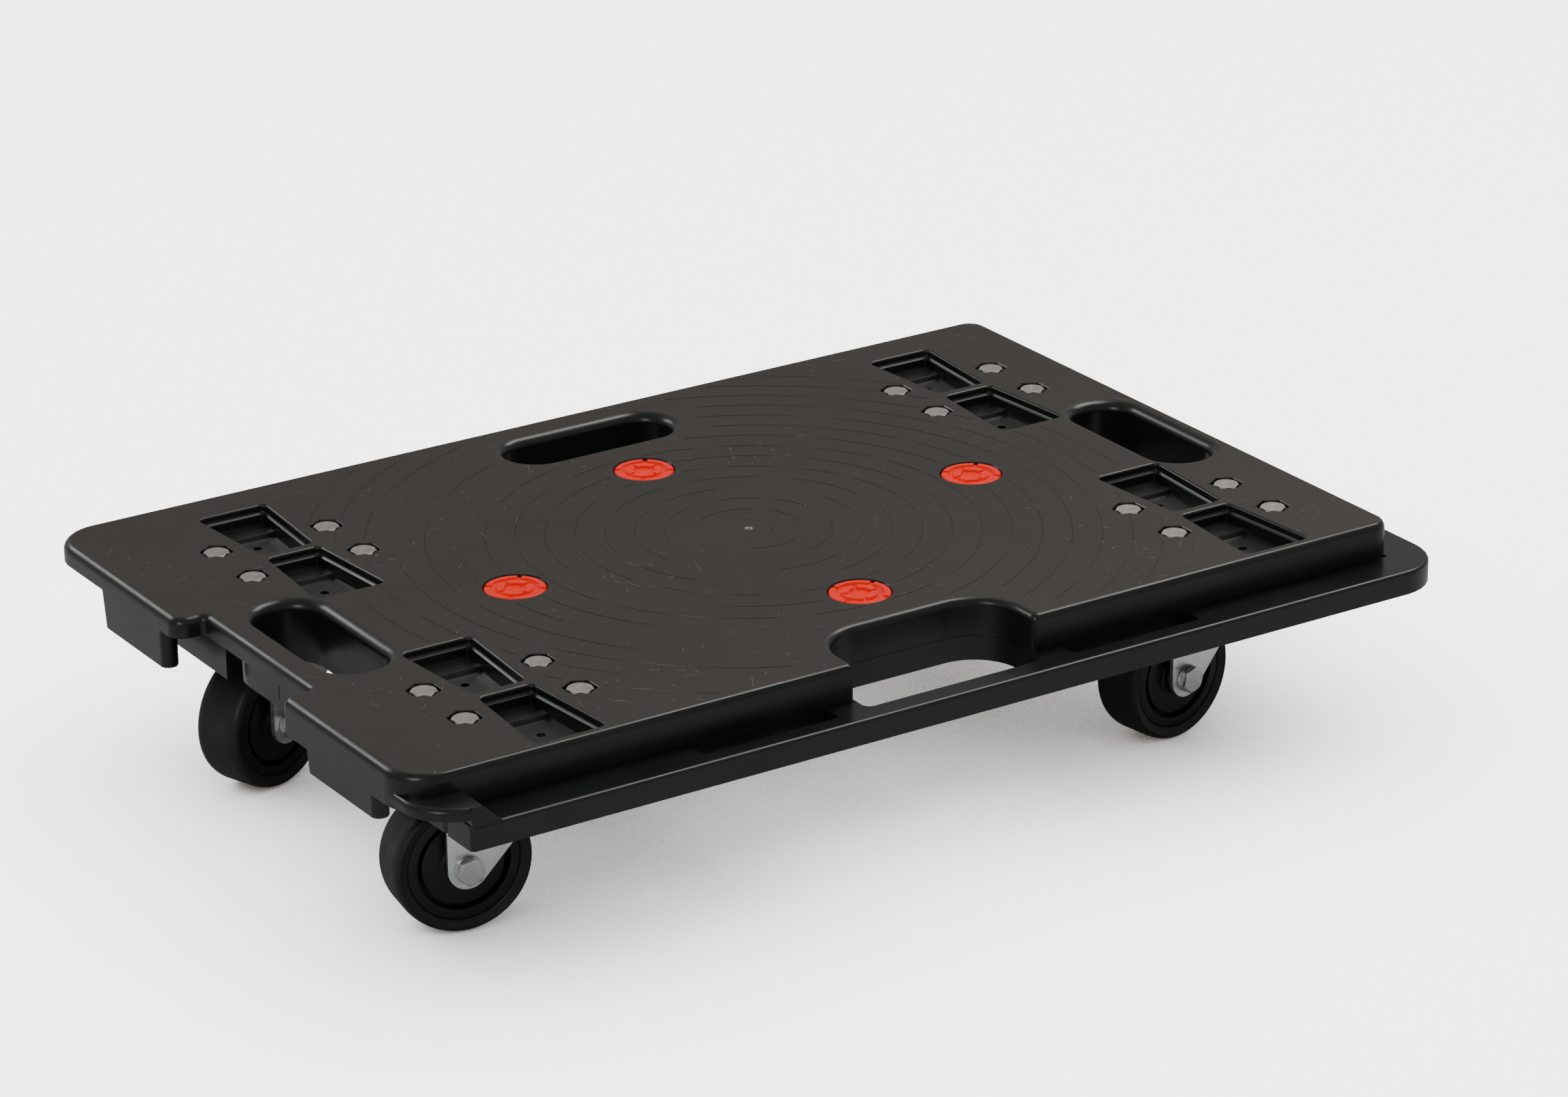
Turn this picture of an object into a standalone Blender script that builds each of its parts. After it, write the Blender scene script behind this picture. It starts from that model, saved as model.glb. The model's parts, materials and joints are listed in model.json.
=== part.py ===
# A linkable platform trolley: a moulded plastic deck on four swivel castors.
# Run it with: blender --background --python part.py
# X runs along the deck, Y across it and Z up. The origin is on the floor, below the deck's centre.
# Lengths in the named values are millimetres; "mm" turns them into metres.

import math

import bmesh
import bpy
from mathutils import Matrix, Vector

mm = 0.001

# Deck: overall sizes and levels. Every "drop" is measured down from the deck's top face,
# whose height is worked out from the wheel up.
DECK_LENGTH = 634.0        # left lip to right ledge
DECK_WIDTH = 420.0         # front ledge to back lip
LINK_X = 23.0              # how far the left lip and the right ledge stand out from the body
LINK_Y = 22.0              # the same for the back lip and the front ledge
SKIN = 3.5                 # top plate
WALL = 3.0                 # skirts, tubs and ribs
THIN_LIP_DROP = 11.0
THICK_LIP_DROP = 20.0
LEDGE_DROP = 21.0          # top face of the ledges
SKIRT_DROP = 34.5          # lower edge of skirts, ledges and lugs
RIB_DROP = 30.0
HOLE_TUB_DROP = 31.0
SKIRT_INSET = 0.2          # skirts and lips stand this far inside the top plate's edge
LIP_CORNER = 26.0          # plan radii of the deck's corners
FRONT_LIP_CORNER = 24.0
BODY_CORNER = 12.0
LEDGE_CORNER = 30.0
STEP_INSET = 0.3           # raised step inside the ledge's edge
STEP_HEIGHT = 6.5
STEP_REACH = 7.0           # how far the step runs past the body's corner before its ramp
NOTCH_BEYOND = 2.5         # finger notch in the left lip, past each end of the hand hole
NOTCH_DEPTH = 17.0
SKIRT_OPENING = 47.0       # half the length of the opening in the left skirt, under the notch
CORE_ROOM = 4.0            # a hollow under a lip or ledge is moulded where it is longer than this

# Hand holes and the front grip recess
HOLE_LENGTH = 111.0
HOLE_WIDTH = 45.0
HOLE_INSET_X = 8.5         # from the body's side to the left and right hand holes
GRIP_DEPTH = 42.0          # how far the front recess cuts into the deck
GRIP_BAR = 13.0            # width of the front ledge left as a grip bar
GRIP_CORNER = 27.0

# Link lugs under the lips and the slots in the ledges that take them
LUG_FROM_HOLE = 21.5       # back lugs start this far past the hand hole's end
LUG_OFFSET = 9.0           # left lugs stand this far towards the middle of the room they have
LUG_LENGTH = 74.0
LUG_THICKNESS = 10.0
LUG_SETBACK = 2.0          # from the lip's edge
LUG_TAPER = 5.0            # how much shorter the lug is at its lower edge
SLOT_CLEARANCE = 4.0       # slot beyond the lug at each end
SLOT_SIDE_GAP = 1.5

# Castor pockets, seats and bolts
PLATE_EDGE_X = 8.6         # plate beyond its bolt holes
PLATE_EDGE_Y = 8.15
PLATE_THICKNESS = 3.0
SEAT_FLOOR = 12.0          # pocket floor to the castor seat below it
SEAT_MARGIN = 4.0          # seat beyond the plate on each side
BOLT_PITCH_X = 66.8
BOLT_PITCH_Y = 41.7
BOLT_RADIUS = 4.0
BOLT_TIP = 1.5             # thread past the nut
HEX_ACROSS = 13.0
HEAD_HEIGHT = 5.3
NUT_HEIGHT = 6.5
HEAD_SINK = 0.3            # bolt head below the deck's top face
HEAD_ROOM = 1.5            # between a bolt head and its recess
POCKET_INNER = 31.5        # pocket width near the castor's centre
POCKET_OUTER = 41.6
POCKET_LENGTH = 65.5
POCKET_GAP = 3.0           # from the castor's centre line to the pocket
POCKET_DEPTH = 12.0
POCKET_WALL = 2.65         # between a pocket's wide end and the hand hole beside it
POCKET_MARGIN = 6.5        # from the body's front and back sides to the pockets
DRAIN_RADIUS = 2.6
DRAIN_MARGIN = 2.4         # between the castor seat and the drain hole beside it

# Round plugs that close the four sockets in the deck
CAP_RADIUS = 16.7
CAP_FROM_CASTOR = 73.7     # along X, from the castor centres to the left and right plugs
CAP_FROM_GRIP = 37.9       # along Y, from the grip recess to the front plug; the back one mirrors it
CAP_SINK = 0.2             # plug's top below the deck's top face
CAP_RIM = 2.6
CAP_EDGE = 0.6
CAP_STEM_RADIUS = 13.0
CAP_STEM_LENGTH = 7.0
SOCKET_ROOM = 1.2          # under the plug's stem

# Castors
WHEEL_RADIUS = 37.5
WHEEL_HALF_WIDTH = 14.4
TREAD_SHOULDER = 6.7       # width of the tread's rounding
TRAIL = 28.0               # kingpin axis to wheel axle
CASTOR_YAW = {"front_left": -9.2, "front_right": 8.8, "back_left": 20.0, "back_right": -4.0}
TYRE_DEPTH = 7.1           # tread to the wheel core
CORE_SETBACK = 1.8         # core's side inside the tyre's side
RIM_WALL = 5.4             # core's rim outside its groove
GROOVE_WIDTH = 2.5
GROOVE_DEPTH = 6.0
HUB_WALL = 3.4
HUB_SIDE_GAP = 1.1         # hub to fork leg
TYRE_SIDE_GAP = 2.1        # tyre to fork leg
WHEEL_HEADROOM = 14.0      # tread to fork crown
FORK_SHEET = 2.5
FORK_RAKE = 48.0           # slope of the fork's front edge, degrees from level
FOOT_RADIUS = 11.0         # fork leg round the axle
CROWN_FRONT = 22.0
CROWN_REAR = 22.0
CROWN_SIDE = 1.5           # upright side of the crown above the raked legs
CROWN_DROP = 5.6           # plate's lower face to the fork crown's upper face
RACE_RADIUS = 22.0
RACE_BORE = 9.0
KINGPIN_RADIUS = 5.5
KINGPIN_HEAD = 9.0
KINGPIN_HEAD_HEIGHT = 3.6
SLEEVE_WALL = 2.1
BOLT_FIT = 0.4             # bores round the axle bolt and the deck bolts
AXLE_HEX_TURN = 0.26       # how the axle bolt's head happens to stand, radians

# Fits between pieces
GAP = 0.3                  # between faces that touch
RUNNING_GAP = 0.6          # between round pieces that turn on each other
TYRE_SIDES = 24
CORE_SIDES = 20
CAP_SIDES = 16
SMALL_SIDES = 12           # pins, bolts and bores
CORNER_STEPS = 3           # straight steps round a plan corner

# Worked out from the values above
half_length = DECK_LENGTH / 2
half_width = DECK_WIDTH / 2
body_x = half_length - LINK_X
body_y = half_width - LINK_Y
crown_bottom = 2 * WHEEL_RADIUS + WHEEL_HEADROOM
crown_top = crown_bottom + FORK_SHEET
plate_bottom = crown_top + CROWN_DROP
plate_top = plate_bottom + PLATE_THICKNESS
seat_z = plate_top + GAP
deck_top = seat_z + POCKET_DEPTH + SEAT_FLOOR
fork_inside = WHEEL_HALF_WIDTH + TYRE_SIDE_GAP      # half the gap between the fork's legs
fork_half_width = fork_inside + FORK_SHEET
bolt_hole = BOLT_RADIUS + BOLT_FIT
sleeve_radius = bolt_hole + SLEEVE_WALL
core_radius = WHEEL_RADIUS - TYRE_DEPTH
core_half_width = WHEEL_HALF_WIDTH - CORE_SETBACK
groove_outer = core_radius - RIM_WALL
groove_inner = groove_outer - GROOVE_WIDTH
hub_radius = sleeve_radius + RUNNING_GAP + HUB_WALL
hub_half_length = fork_inside - HUB_SIDE_GAP
plate_length = BOLT_PITCH_X + 2 * PLATE_EDGE_X
plate_width = BOLT_PITCH_Y + 2 * PLATE_EDGE_Y
seat_half_x = plate_length / 2 + SEAT_MARGIN
seat_half_y = plate_width / 2 + SEAT_MARGIN
head_recess = HEAD_SINK + HEAD_HEIGHT + GAP
head_recess_across = HEX_ACROSS + 2 * HEAD_ROOM
socket_depth = CAP_SINK + CAP_RIM + CAP_STEM_LENGTH + SOCKET_ROOM
notch_half = HOLE_LENGTH / 2 + NOTCH_BEYOND
lug_start_x = HOLE_LENGTH / 2 + LUG_FROM_HOLE       # lugs and slots that run along X
lug_start_y = (notch_half + body_y - LUG_LENGTH) / 2 - LUG_OFFSET


def side_hole_reach(y):
    """Half the width of a left or right hand hole at a distance along Y from its middle."""
    radius = HOLE_WIDTH / 2 - 0.5
    into_end = max(0.0, abs(y) - (HOLE_LENGTH / 2 - radius))
    return 0.5 + math.sqrt(max(0.0, radius * radius - into_end * into_end))


# Castor centres: the pockets end short of the body's side and of the hand holes beside them
castor_y = body_y - POCKET_MARGIN - POCKET_LENGTH - POCKET_GAP
side_hole_x = body_x - HOLE_INSET_X - HOLE_WIDTH / 2
hole_reach = side_hole_reach(castor_y - POCKET_GAP - POCKET_LENGTH)
castor_x = round(side_hole_x - hole_reach - POCKET_WALL - POCKET_OUTER / 2, 2)
cap_x = castor_x - CAP_FROM_CASTOR
cap_y = body_y - GRIP_DEPTH - CAP_FROM_GRIP
CASTORS = {
    "front_left": (-castor_x, -castor_y),
    "front_right": (castor_x, -castor_y),
    "back_left": (-castor_x, castor_y),
    "back_right": (castor_x, castor_y),
}


def clear_scene():
    for item in list(bpy.data.objects):
        bpy.data.objects.remove(item, do_unlink=True)


def material(name, colour, roughness, metallic=0.0):
    made = bpy.data.materials.new(name)
    made.use_nodes = True
    shader = made.node_tree.nodes["Principled BSDF"]
    shader.inputs["Base Color"].default_value = (*colour, 1.0)
    shader.inputs["Roughness"].default_value = roughness
    shader.inputs["Metallic"].default_value = metallic
    return made


def object_from(name, mesh_builder, finish=None):
    """Make a mesh object from a bmesh and free the bmesh."""
    bmesh.ops.recalc_face_normals(mesh_builder, faces=mesh_builder.faces)
    mesh = bpy.data.meshes.new(name)
    mesh_builder.to_mesh(mesh)
    mesh_builder.free()
    if finish is not None:
        mesh.materials.append(finish)
    made = bpy.data.objects.new(name, mesh)
    bpy.context.collection.objects.link(made)
    return made


def rounded_outline(corners):
    """Plan outline in millimetres; each corner is (x, y) or (x, y, radius)."""
    points = []
    count = len(corners)
    for index, corner in enumerate(corners):
        here = Vector(corner[:2])
        radius = corner[2] if len(corner) > 2 else 0.0
        if radius <= 0.0:
            points.append(here)
            continue
        before = (Vector(corners[index - 1][:2]) - here).normalized()
        after = (Vector(corners[(index + 1) % count][:2]) - here).normalized()
        half_angle = math.acos(max(-1.0, min(1.0, before.dot(after)))) / 2
        centre = here + (before + after).normalized() * (radius / math.sin(half_angle))
        reach = radius / math.tan(half_angle)
        start = here + before * reach - centre
        end = here + after * reach - centre
        sweep = start.angle_signed(end)
        for step in range(CORNER_STEPS + 1):
            turned = Matrix.Rotation(-sweep * step / CORNER_STEPS, 2) @ start
            points.append(centre + turned)
    return points


def prism(outline, low, high, axis="Z"):
    """Closed prism over an outline, between two levels along an axis, as a bmesh in metres."""
    places = {
        "X": lambda point, level: (level, point[0], point[1]),
        "Y": lambda point, level: (point[0], level, point[1]),
        "Z": lambda point, level: (point[0], point[1], level),
    }
    place = places[axis]
    made = bmesh.new()
    bottom = [made.verts.new(Vector(place(point, low)) * mm) for point in outline]
    face = made.faces.new(bottom)
    lifted = bmesh.ops.extrude_face_region(made, geom=[face])
    shift = (Vector(place((0, 0), high)) - Vector(place((0, 0), low))) * mm
    moved = [item for item in lifted["geom"] if isinstance(item, bmesh.types.BMVert)]
    bmesh.ops.translate(made, vec=shift, verts=moved)
    return made


def box(low, high):
    corners = [(low[0], low[1]), (high[0], low[1]), (high[0], high[1]), (low[0], high[1])]
    return prism(corners, low[2], high[2])


def round_bar(x, y, radius, low, high, sides=SMALL_SIDES):
    return prism([(x + dx, y + dy) for dx, dy in circle(radius, sides)], low, high)


def hexagon(x, y, across, turn=0.0):
    radius = across / math.sqrt(3)
    angles = [turn + math.pi / 3 * step for step in range(6)]
    return [(x + radius * math.cos(angle), y + radius * math.sin(angle)) for angle in angles]


def circle(radius, sides):
    turns = [2 * math.pi * (step + 0.5) / sides for step in range(sides)]
    return [(radius * math.cos(turn), radius * math.sin(turn)) for turn in turns]


def flats_at(radius, sides):
    """Corner radius of a regular polygon whose flats lie at the given radius."""
    return radius / math.cos(math.pi / sides)


def turned_solid(profile, sides, closed=False):
    """Turn a (radius, height) profile round Z; an open one starts and ends on the axis."""
    made = bmesh.new()
    start = [made.verts.new((radius * mm, 0, height * mm)) for radius, height in profile]
    count = len(start) if closed else len(start) - 1
    edges = [made.edges.new((start[i], start[(i + 1) % len(start)])) for i in range(count)]
    bmesh.ops.rotate(made, verts=start, cent=(0, 0, 0), matrix=Matrix.Rotation(math.pi / sides, 3, "Z"))
    bmesh.ops.spin(made, geom=start + edges, axis=(0, 0, 1), cent=(0, 0, 0), steps=sides,
                   angle=2 * math.pi, use_merge=True)
    bmesh.ops.remove_doubles(made, verts=made.verts, dist=1e-6)
    return made


def laid_over(made):
    """Turn a shape built round Z so that its axis runs along Y, its top to the front."""
    bmesh.ops.rotate(made, verts=made.verts, cent=(0, 0, 0), matrix=Matrix.Rotation(math.pi / 2, 3, "X"))
    return made


def empty(name, place):
    made = bpy.data.objects.new(name, None)
    bpy.context.collection.objects.link(made)
    made.location = place
    return made


def copy_of(shape, name):
    """A new object that shares the shape's mesh."""
    made = bpy.data.objects.new(name, shape.data)
    bpy.context.collection.objects.link(made)
    return made


def discard(shape):
    """Remove the object that a shape was built on; its mesh stays with the copies."""
    bpy.data.objects.remove(shape, do_unlink=True)


def combined(body, shapes, operation):
    """Join each shape to the body, or cut it away, and keep only the result."""
    for shape in shapes:
        helper = object_from("helper", shape)
        helper.hide_render = True
        helper.display_type = "WIRE"
        step = body.modifiers.new("combine", "BOOLEAN")
        step.operation = operation
        step.solver = "EXACT"
        step.object = helper
        bpy.context.view_layer.update()
        graph = bpy.context.evaluated_depsgraph_get()
        result = bpy.data.meshes.new_from_object(body.evaluated_get(graph))
        body.modifiers.clear()
        body.data = result
        bpy.data.objects.remove(helper, do_unlink=True)
    return body


def shade_round(item):
    item.data.shade_smooth()
    item.data.set_sharp_from_angle(angle=math.radians(40))


# ---------------------------------------------------------------- deck

def below(drop):
    return deck_top - drop


def hand_hole_outline(x, y, along, margin=0.0):
    """Stadium outline of a hand hole whose long side runs along X or Y."""
    half_long = HOLE_LENGTH / 2 + margin
    half_short = HOLE_WIDTH / 2 + margin
    radius = half_short - 0.5
    dx, dy = (half_long, half_short) if along == "X" else (half_short, half_long)
    corners = [(x - dx, y - dy, radius), (x + dx, y - dy, radius),
               (x + dx, y + dy, radius), (x - dx, y + dy, radius)]
    return rounded_outline(corners)


def hand_holes():
    back = body_y - GRIP_DEPTH + HOLE_WIDTH / 2
    return [(-side_hole_x, 0.0, "Y"), (side_hole_x, 0.0, "Y"), (0.0, back, "X")]


def grip_outline(margin=0.0, front=0.0):
    """Outline of the recess in the front edge, open towards the front."""
    half = HOLE_LENGTH / 2 + margin
    back = -body_y + GRIP_DEPTH + margin
    radius = GRIP_CORNER + margin
    return rounded_outline([(-half, front), (half, front), (half, back, radius), (-half, back, radius)])


def pocket_outline(castor_x, castor_y, side, margin=0.0):
    """One of a castor's two pockets: narrow end near the castor, wide end away from it."""
    near = castor_y + side * (POCKET_GAP - margin)
    far = castor_y + side * (POCKET_GAP + POCKET_LENGTH + margin)
    inner = POCKET_INNER / 2 + margin
    outer = POCKET_OUTER / 2 + margin
    corners = [(castor_x - inner, near, 3.0), (castor_x + inner, near, 3.0),
               (castor_x + outer, far, 4.0), (castor_x - outer, far, 4.0)]
    return rounded_outline(corners)


def bolt_places(castor_x, castor_y):
    return [(castor_x + sx * BOLT_PITCH_X / 2, castor_y + sy * BOLT_PITCH_Y / 2)
            for sx in (-1, 1) for sy in (-1, 1)]


def cap_places():
    return {"left": (-cap_x, 0.0), "right": (cap_x, 0.0),
            "front": (0.0, -cap_y), "back": (0.0, cap_y)}


def top_plate():
    corners = [
        (-half_length, -body_y, FRONT_LIP_CORNER),
        (body_x, -body_y, BODY_CORNER), (body_x, half_width, BODY_CORNER),
        (-half_length, half_width, LIP_CORNER),
        (-half_length, notch_half, 10.0), (-half_length + NOTCH_DEPTH, notch_half, 3.0),
        (-half_length + NOTCH_DEPTH, -notch_half, 3.0), (-half_length, -notch_half, 5.0),
    ]
    return prism(rounded_outline(corners), below(SKIN), deck_top)


def body_walls():
    """Upright skirts round the body, the left one open at its middle, and the ribs between them."""
    low = below(SKIRT_DROP)
    high = below(SKIN / 2)
    rib_low = below(RIB_DROP)
    x, y = body_x - SKIRT_INSET, body_y - SKIRT_INSET
    walls = [
        box((-x, -y, low), (-x + WALL, -SKIRT_OPENING, high)),
        box((-x, SKIRT_OPENING, low), (-x + WALL, y, high)),
        box((x - WALL, -y + BODY_CORNER, low), (x, y, high)),
        box((-x + WALL / 2, -y, low), (x - BODY_CORNER, -y + WALL, high)),
        box((-x + WALL / 2, y - WALL, low), (x - WALL / 2, y, high)),
    ]
    corner = rounded_outline([(x - 2 * BODY_CORNER, -y + 1.0), (x - BODY_CORNER, -y + 0.1),
                              (x - 0.1, -y + 0.1, BODY_CORNER - 1.0), (x - 0.1, -y + BODY_CORNER),
                              (x - 1.0, -y + 2 * BODY_CORNER)])
    walls.append(prism(corner, low + 0.1, high))
    for rib_x in (-castor_x + seat_half_x + WALL, 0.0, castor_x - seat_half_x - WALL):
        walls.append(box((rib_x - WALL / 2, -y + WALL / 2, rib_low), (rib_x + WALL / 2, y - WALL / 2, high)))
    for rib_y in (-cap_y, 0.0, cap_y):
        end = x - WALL / 2
        walls.append(box((-end, rib_y - WALL / 2, rib_low), (end, rib_y + WALL / 2, high)))
    return walls


def lips():
    """The lips that hang over the left and back sides; half of each is thicker."""
    thin = below(THIN_LIP_DROP)
    thick = below(THICK_LIP_DROP)
    high = below(SKIN / 2)
    x, y = half_length - SKIRT_INSET, half_width - SKIRT_INSET
    front, right = body_y - SKIRT_INSET, body_x - SKIRT_INSET
    inner_x, inner_y = body_x - WALL / 2, body_y - WALL / 2
    left_front = [(-x, -front, FRONT_LIP_CORNER), (-inner_x, -front),
                  (-inner_x, -notch_half - 0.2), (-x, -notch_half - 0.2, 5.0)]
    corner = [(-x, notch_half + 0.2, 10.0), (-inner_x, notch_half + 0.2), (-inner_x, inner_y),
              (0.0, inner_y), (0.0, y), (-x, y, LIP_CORNER)]
    back_right = [(-WALL / 2, inner_y), (right, inner_y), (right, y, BODY_CORNER), (-WALL / 2, y)]
    notch_x = half_length - NOTCH_DEPTH - SKIRT_INSET
    notch = [(-notch_x, -notch_half - 1.0), (-inner_x, -notch_half - 1.0),
             (-inner_x, notch_half + 1.0), (-notch_x, notch_half + 1.0)]
    return [
        prism(rounded_outline(left_front), thick, high),
        prism(rounded_outline(corner), thin, high),
        prism(rounded_outline(back_right), thick, high),
        prism(rounded_outline(notch), thin, high),
    ]


def boxes_with_room(spans):
    """A box for each (low, high) pair that has room for one."""
    return [box(low, high) for low, high in spans if min(b - a for a, b in zip(low, high)) > CORE_ROOM]


def lip_cores():
    """Hollows moulded into the lips from below, which leave a skin and an outer wall."""
    roof = below(SKIN)
    floor = below(SKIRT_DROP)
    x, y = half_length - WALL, half_width - WALL
    lug_end_x = lug_start_x + LUG_LENGTH + WALL
    lug_end_y = lug_start_y + LUG_LENGTH + WALL
    hole_end = HOLE_LENGTH / 2 + 2 * WALL
    return boxes_with_room([
        ((-x, -body_y + FRONT_LIP_CORNER, floor), (-body_x, -lug_end_y, roof)),
        ((-body_x + LIP_CORNER, body_y, floor), (-lug_end_x, y, roof)),
        ((-lug_start_x + WALL, body_y, floor), (-hole_end, y, roof)),
        ((hole_end, body_y, floor), (lug_start_x - WALL, y, roof)),
        ((lug_end_x, body_y, floor), (body_x - BODY_CORNER, y, roof)),
    ])


def ledges():
    """Ledges that stand out on the front and right sides; a raised step at the front left corner."""
    top = below(LEDGE_DROP)
    low = below(SKIRT_DROP)
    x, y = half_length, half_width
    inner_x, inner_y = body_x - WALL / 2, body_y - WALL / 2
    outline = [(-body_x, -y, 4.0), (x, -y, LEDGE_CORNER), (x, body_y, 4.0),
               (inner_x, body_y), (inner_x, -inner_y), (-body_x, -inner_y)]
    made = [prism(rounded_outline(outline), low, top)]
    step_top = below(THIN_LIP_DROP)
    step_low = below(THIN_LIP_DROP + STEP_HEIGHT)
    reach = STEP_REACH
    outer_x, outer_y = x - STEP_INSET, y - STEP_INSET
    step = [(-outer_x, -body_y + FRONT_LIP_CORNER), (-outer_x, -outer_y, LINK_X + reach - 2.0),
            (-body_x + reach, -outer_y), (-body_x + reach, -inner_y),
            (-body_x + 1.0, -body_y + FRONT_LIP_CORNER)]
    made.append(prism(rounded_outline(step), step_low, step_top))
    fall = LEDGE_DROP - THIN_LIP_DROP
    start_x = -body_x + 2 * STEP_INSET
    ramp = [(start_x, step_top - 0.1), (-body_x + reach, step_top - 0.1), (-body_x + reach + fall, top),
            (-body_x + reach + fall, top - 1.0), (start_x, top - 1.0)]
    made.append(prism(ramp, -y + 2 * STEP_INSET, -inner_y + STEP_INSET, axis="Y"))
    return made


def ledge_cores():
    """Hollows below the ledges, clear of the slots, the grip bar and the corners."""
    roof = below(LEDGE_DROP + SKIN)
    floor = below(SKIRT_DROP + 1.0)
    past_slot = LUG_LENGTH + SLOT_CLEARANCE + WALL
    end_x, end_y = lug_start_x + past_slot, lug_start_y + past_slot
    start_y = lug_start_y - SLOT_CLEARANCE - WALL
    low_y, high_y = -half_width + WALL, -body_y
    low_x, high_x = body_x, half_length - WALL
    return boxes_with_room([
        ((-body_x + WALL, low_y, floor), (-end_x, high_y, roof)),
        ((end_x, low_y, floor), (half_length - LEDGE_CORNER, high_y, roof)),
        ((low_x, -half_width + LEDGE_CORNER, floor), (high_x, -end_y, roof)),
        ((low_x, -start_y, floor), (high_x, start_y, roof)),
        ((low_x, end_y, floor), (high_x, body_y - WALL, roof)),
    ])


def lug(place):
    """A link lug in plan along its lip: round towards one end, tapered at the other."""
    side, start = place
    low = below(SKIRT_DROP)
    high = below(SKIN / 2)
    outer = (half_length if side == "left" else half_width) - LUG_SETBACK
    inner = outer - LUG_THICKNESS
    end = start + LUG_LENGTH
    radius = LUG_THICKNESS / 2 - 0.1
    if side == "left":
        outline = [(-outer, start, radius), (-inner, start, radius), (-inner, end), (-outer, end)]
    else:
        outline = [(start, inner, radius), (start, outer, radius), (end, outer), (end, inner)]
    made = prism(rounded_outline(outline), low, high)
    lowest = [vert for vert in made.verts if vert.co.z < (low + 0.5) * mm]
    axis = 1 if side == "left" else 0
    for vert in lowest:
        if vert.co[axis] > (end - 1.0) * mm:
            vert.co[axis] -= LUG_TAPER * mm
    return made


def both_ways(start):
    """Where the two lugs or slots of a side start: one each side of its middle."""
    return (start, -start - LUG_LENGTH)


def lug_places():
    return ([("left", start) for start in both_ways(lug_start_y)]
            + [("back", start) for start in both_ways(lug_start_x)])


def slots():
    """Through slots in the ledges, beside the body's wall."""
    width = LUG_THICKNESS + SLOT_SIDE_GAP
    low = below(SKIRT_DROP + 1.0)
    high = below(LEDGE_DROP - 1.0)
    near = -0.5
    made = []
    for start_x, start_y in zip(both_ways(lug_start_x), both_ways(lug_start_y)):
        first, last = start_x - SLOT_CLEARANCE, start_x + LUG_LENGTH + SLOT_CLEARANCE
        front = [(first, -body_y - width, 3.0), (last, -body_y - width, 3.0),
                 (last, -body_y - near), (first, -body_y - near)]
        first, last = start_y - SLOT_CLEARANCE, start_y + LUG_LENGTH + SLOT_CLEARANCE
        right = [(body_x + near, first), (body_x + width, first, 3.0),
                 (body_x + width, last, 3.0), (body_x + near, last)]
        made.append(prism(rounded_outline(front), low, high))
        made.append(prism(rounded_outline(right), low, high))
    return made


def tubs():
    """Solid stock for hand holes, grip, castor seats, pockets and sockets, before they are cut."""
    high = below(SKIN / 2)
    made = []
    for x, y, along in hand_holes():
        made.append(prism(hand_hole_outline(x, y, along, WALL), below(HOLE_TUB_DROP), high))
    made.append(prism(grip_outline(WALL, -body_y + WALL / 2), below(HOLE_TUB_DROP), high))
    for x, y in CASTORS.values():
        made.append(box((x - seat_half_x, y - seat_half_y, seat_z - 0.5),
                        (x + seat_half_x, y + seat_half_y, high)))
        for side in (-1, 1):
            outline = pocket_outline(x, y, side, WALL)
            made.append(prism(outline, below(POCKET_DEPTH + WALL), high))
    for x, y in cap_places().values():
        made.append(round_bar(x, y, CAP_RADIUS + GAP + WALL, below(socket_depth + WALL), high, 24))
    return made


def deck_cuts():
    top = deck_top + 1.0
    low = below(SKIRT_DROP + 1.0)
    cuts = []
    for x, y, along in hand_holes():
        cuts.append(prism(hand_hole_outline(x, y, along), low, top))
    cuts.append(prism(grip_outline(0.0, -half_width - 1.0), below(LEDGE_DROP), top))
    opening = [(-HOLE_LENGTH / 2, -half_width + GRIP_BAR, 5.0),
               (HOLE_LENGTH / 2, -half_width + GRIP_BAR, 5.0),
               (HOLE_LENGTH / 2, -body_y + GRIP_DEPTH, GRIP_CORNER),
               (-HOLE_LENGTH / 2, -body_y + GRIP_DEPTH, GRIP_CORNER)]
    cuts.append(prism(rounded_outline(opening), low, below(LEDGE_DROP - 1.0)))
    for x, y in CASTORS.values():
        for side in (-1, 1):
            cuts.append(prism(pocket_outline(x, y, side), below(POCKET_DEPTH), top))
            drain_y = y + side * (seat_half_y + DRAIN_MARGIN + DRAIN_RADIUS)
            cuts.append(round_bar(x, drain_y, DRAIN_RADIUS, low, below(POCKET_DEPTH - 1.0), 8))
        for bolt_x, bolt_y in bolt_places(x, y):
            cuts.append(round_bar(bolt_x, bolt_y, bolt_hole, seat_z - 1.0, below(head_recess - 1.0)))
            cuts.append(prism(hexagon(bolt_x, bolt_y, head_recess_across), below(head_recess), top))
    for x, y in cap_places().values():
        cuts.append(round_bar(x, y, CAP_RADIUS + GAP + 0.1, below(socket_depth), top, 24))
    return cuts


def castor_bays():
    """Rib-free bays below the castor seats, from the seat down."""
    reach_x, reach_y = seat_half_x + 0.5, seat_half_y + 0.5
    low = below(SKIRT_DROP + 1.0)
    return [box((x - reach_x, y - reach_y, low), (x + reach_x, y + reach_y, seat_z))
            for x, y in CASTORS.values()]


def make_deck(finish):
    deck = object_from("deck", top_plate(), finish)
    solid = lips() + ledges() + [lug(place) for place in lug_places()] + body_walls() + tubs()
    combined(deck, solid, "UNION")
    combined(deck, lip_cores() + ledge_cores() + castor_bays(), "DIFFERENCE")
    combined(deck, deck_cuts() + slots(), "DIFFERENCE")
    return deck


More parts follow.
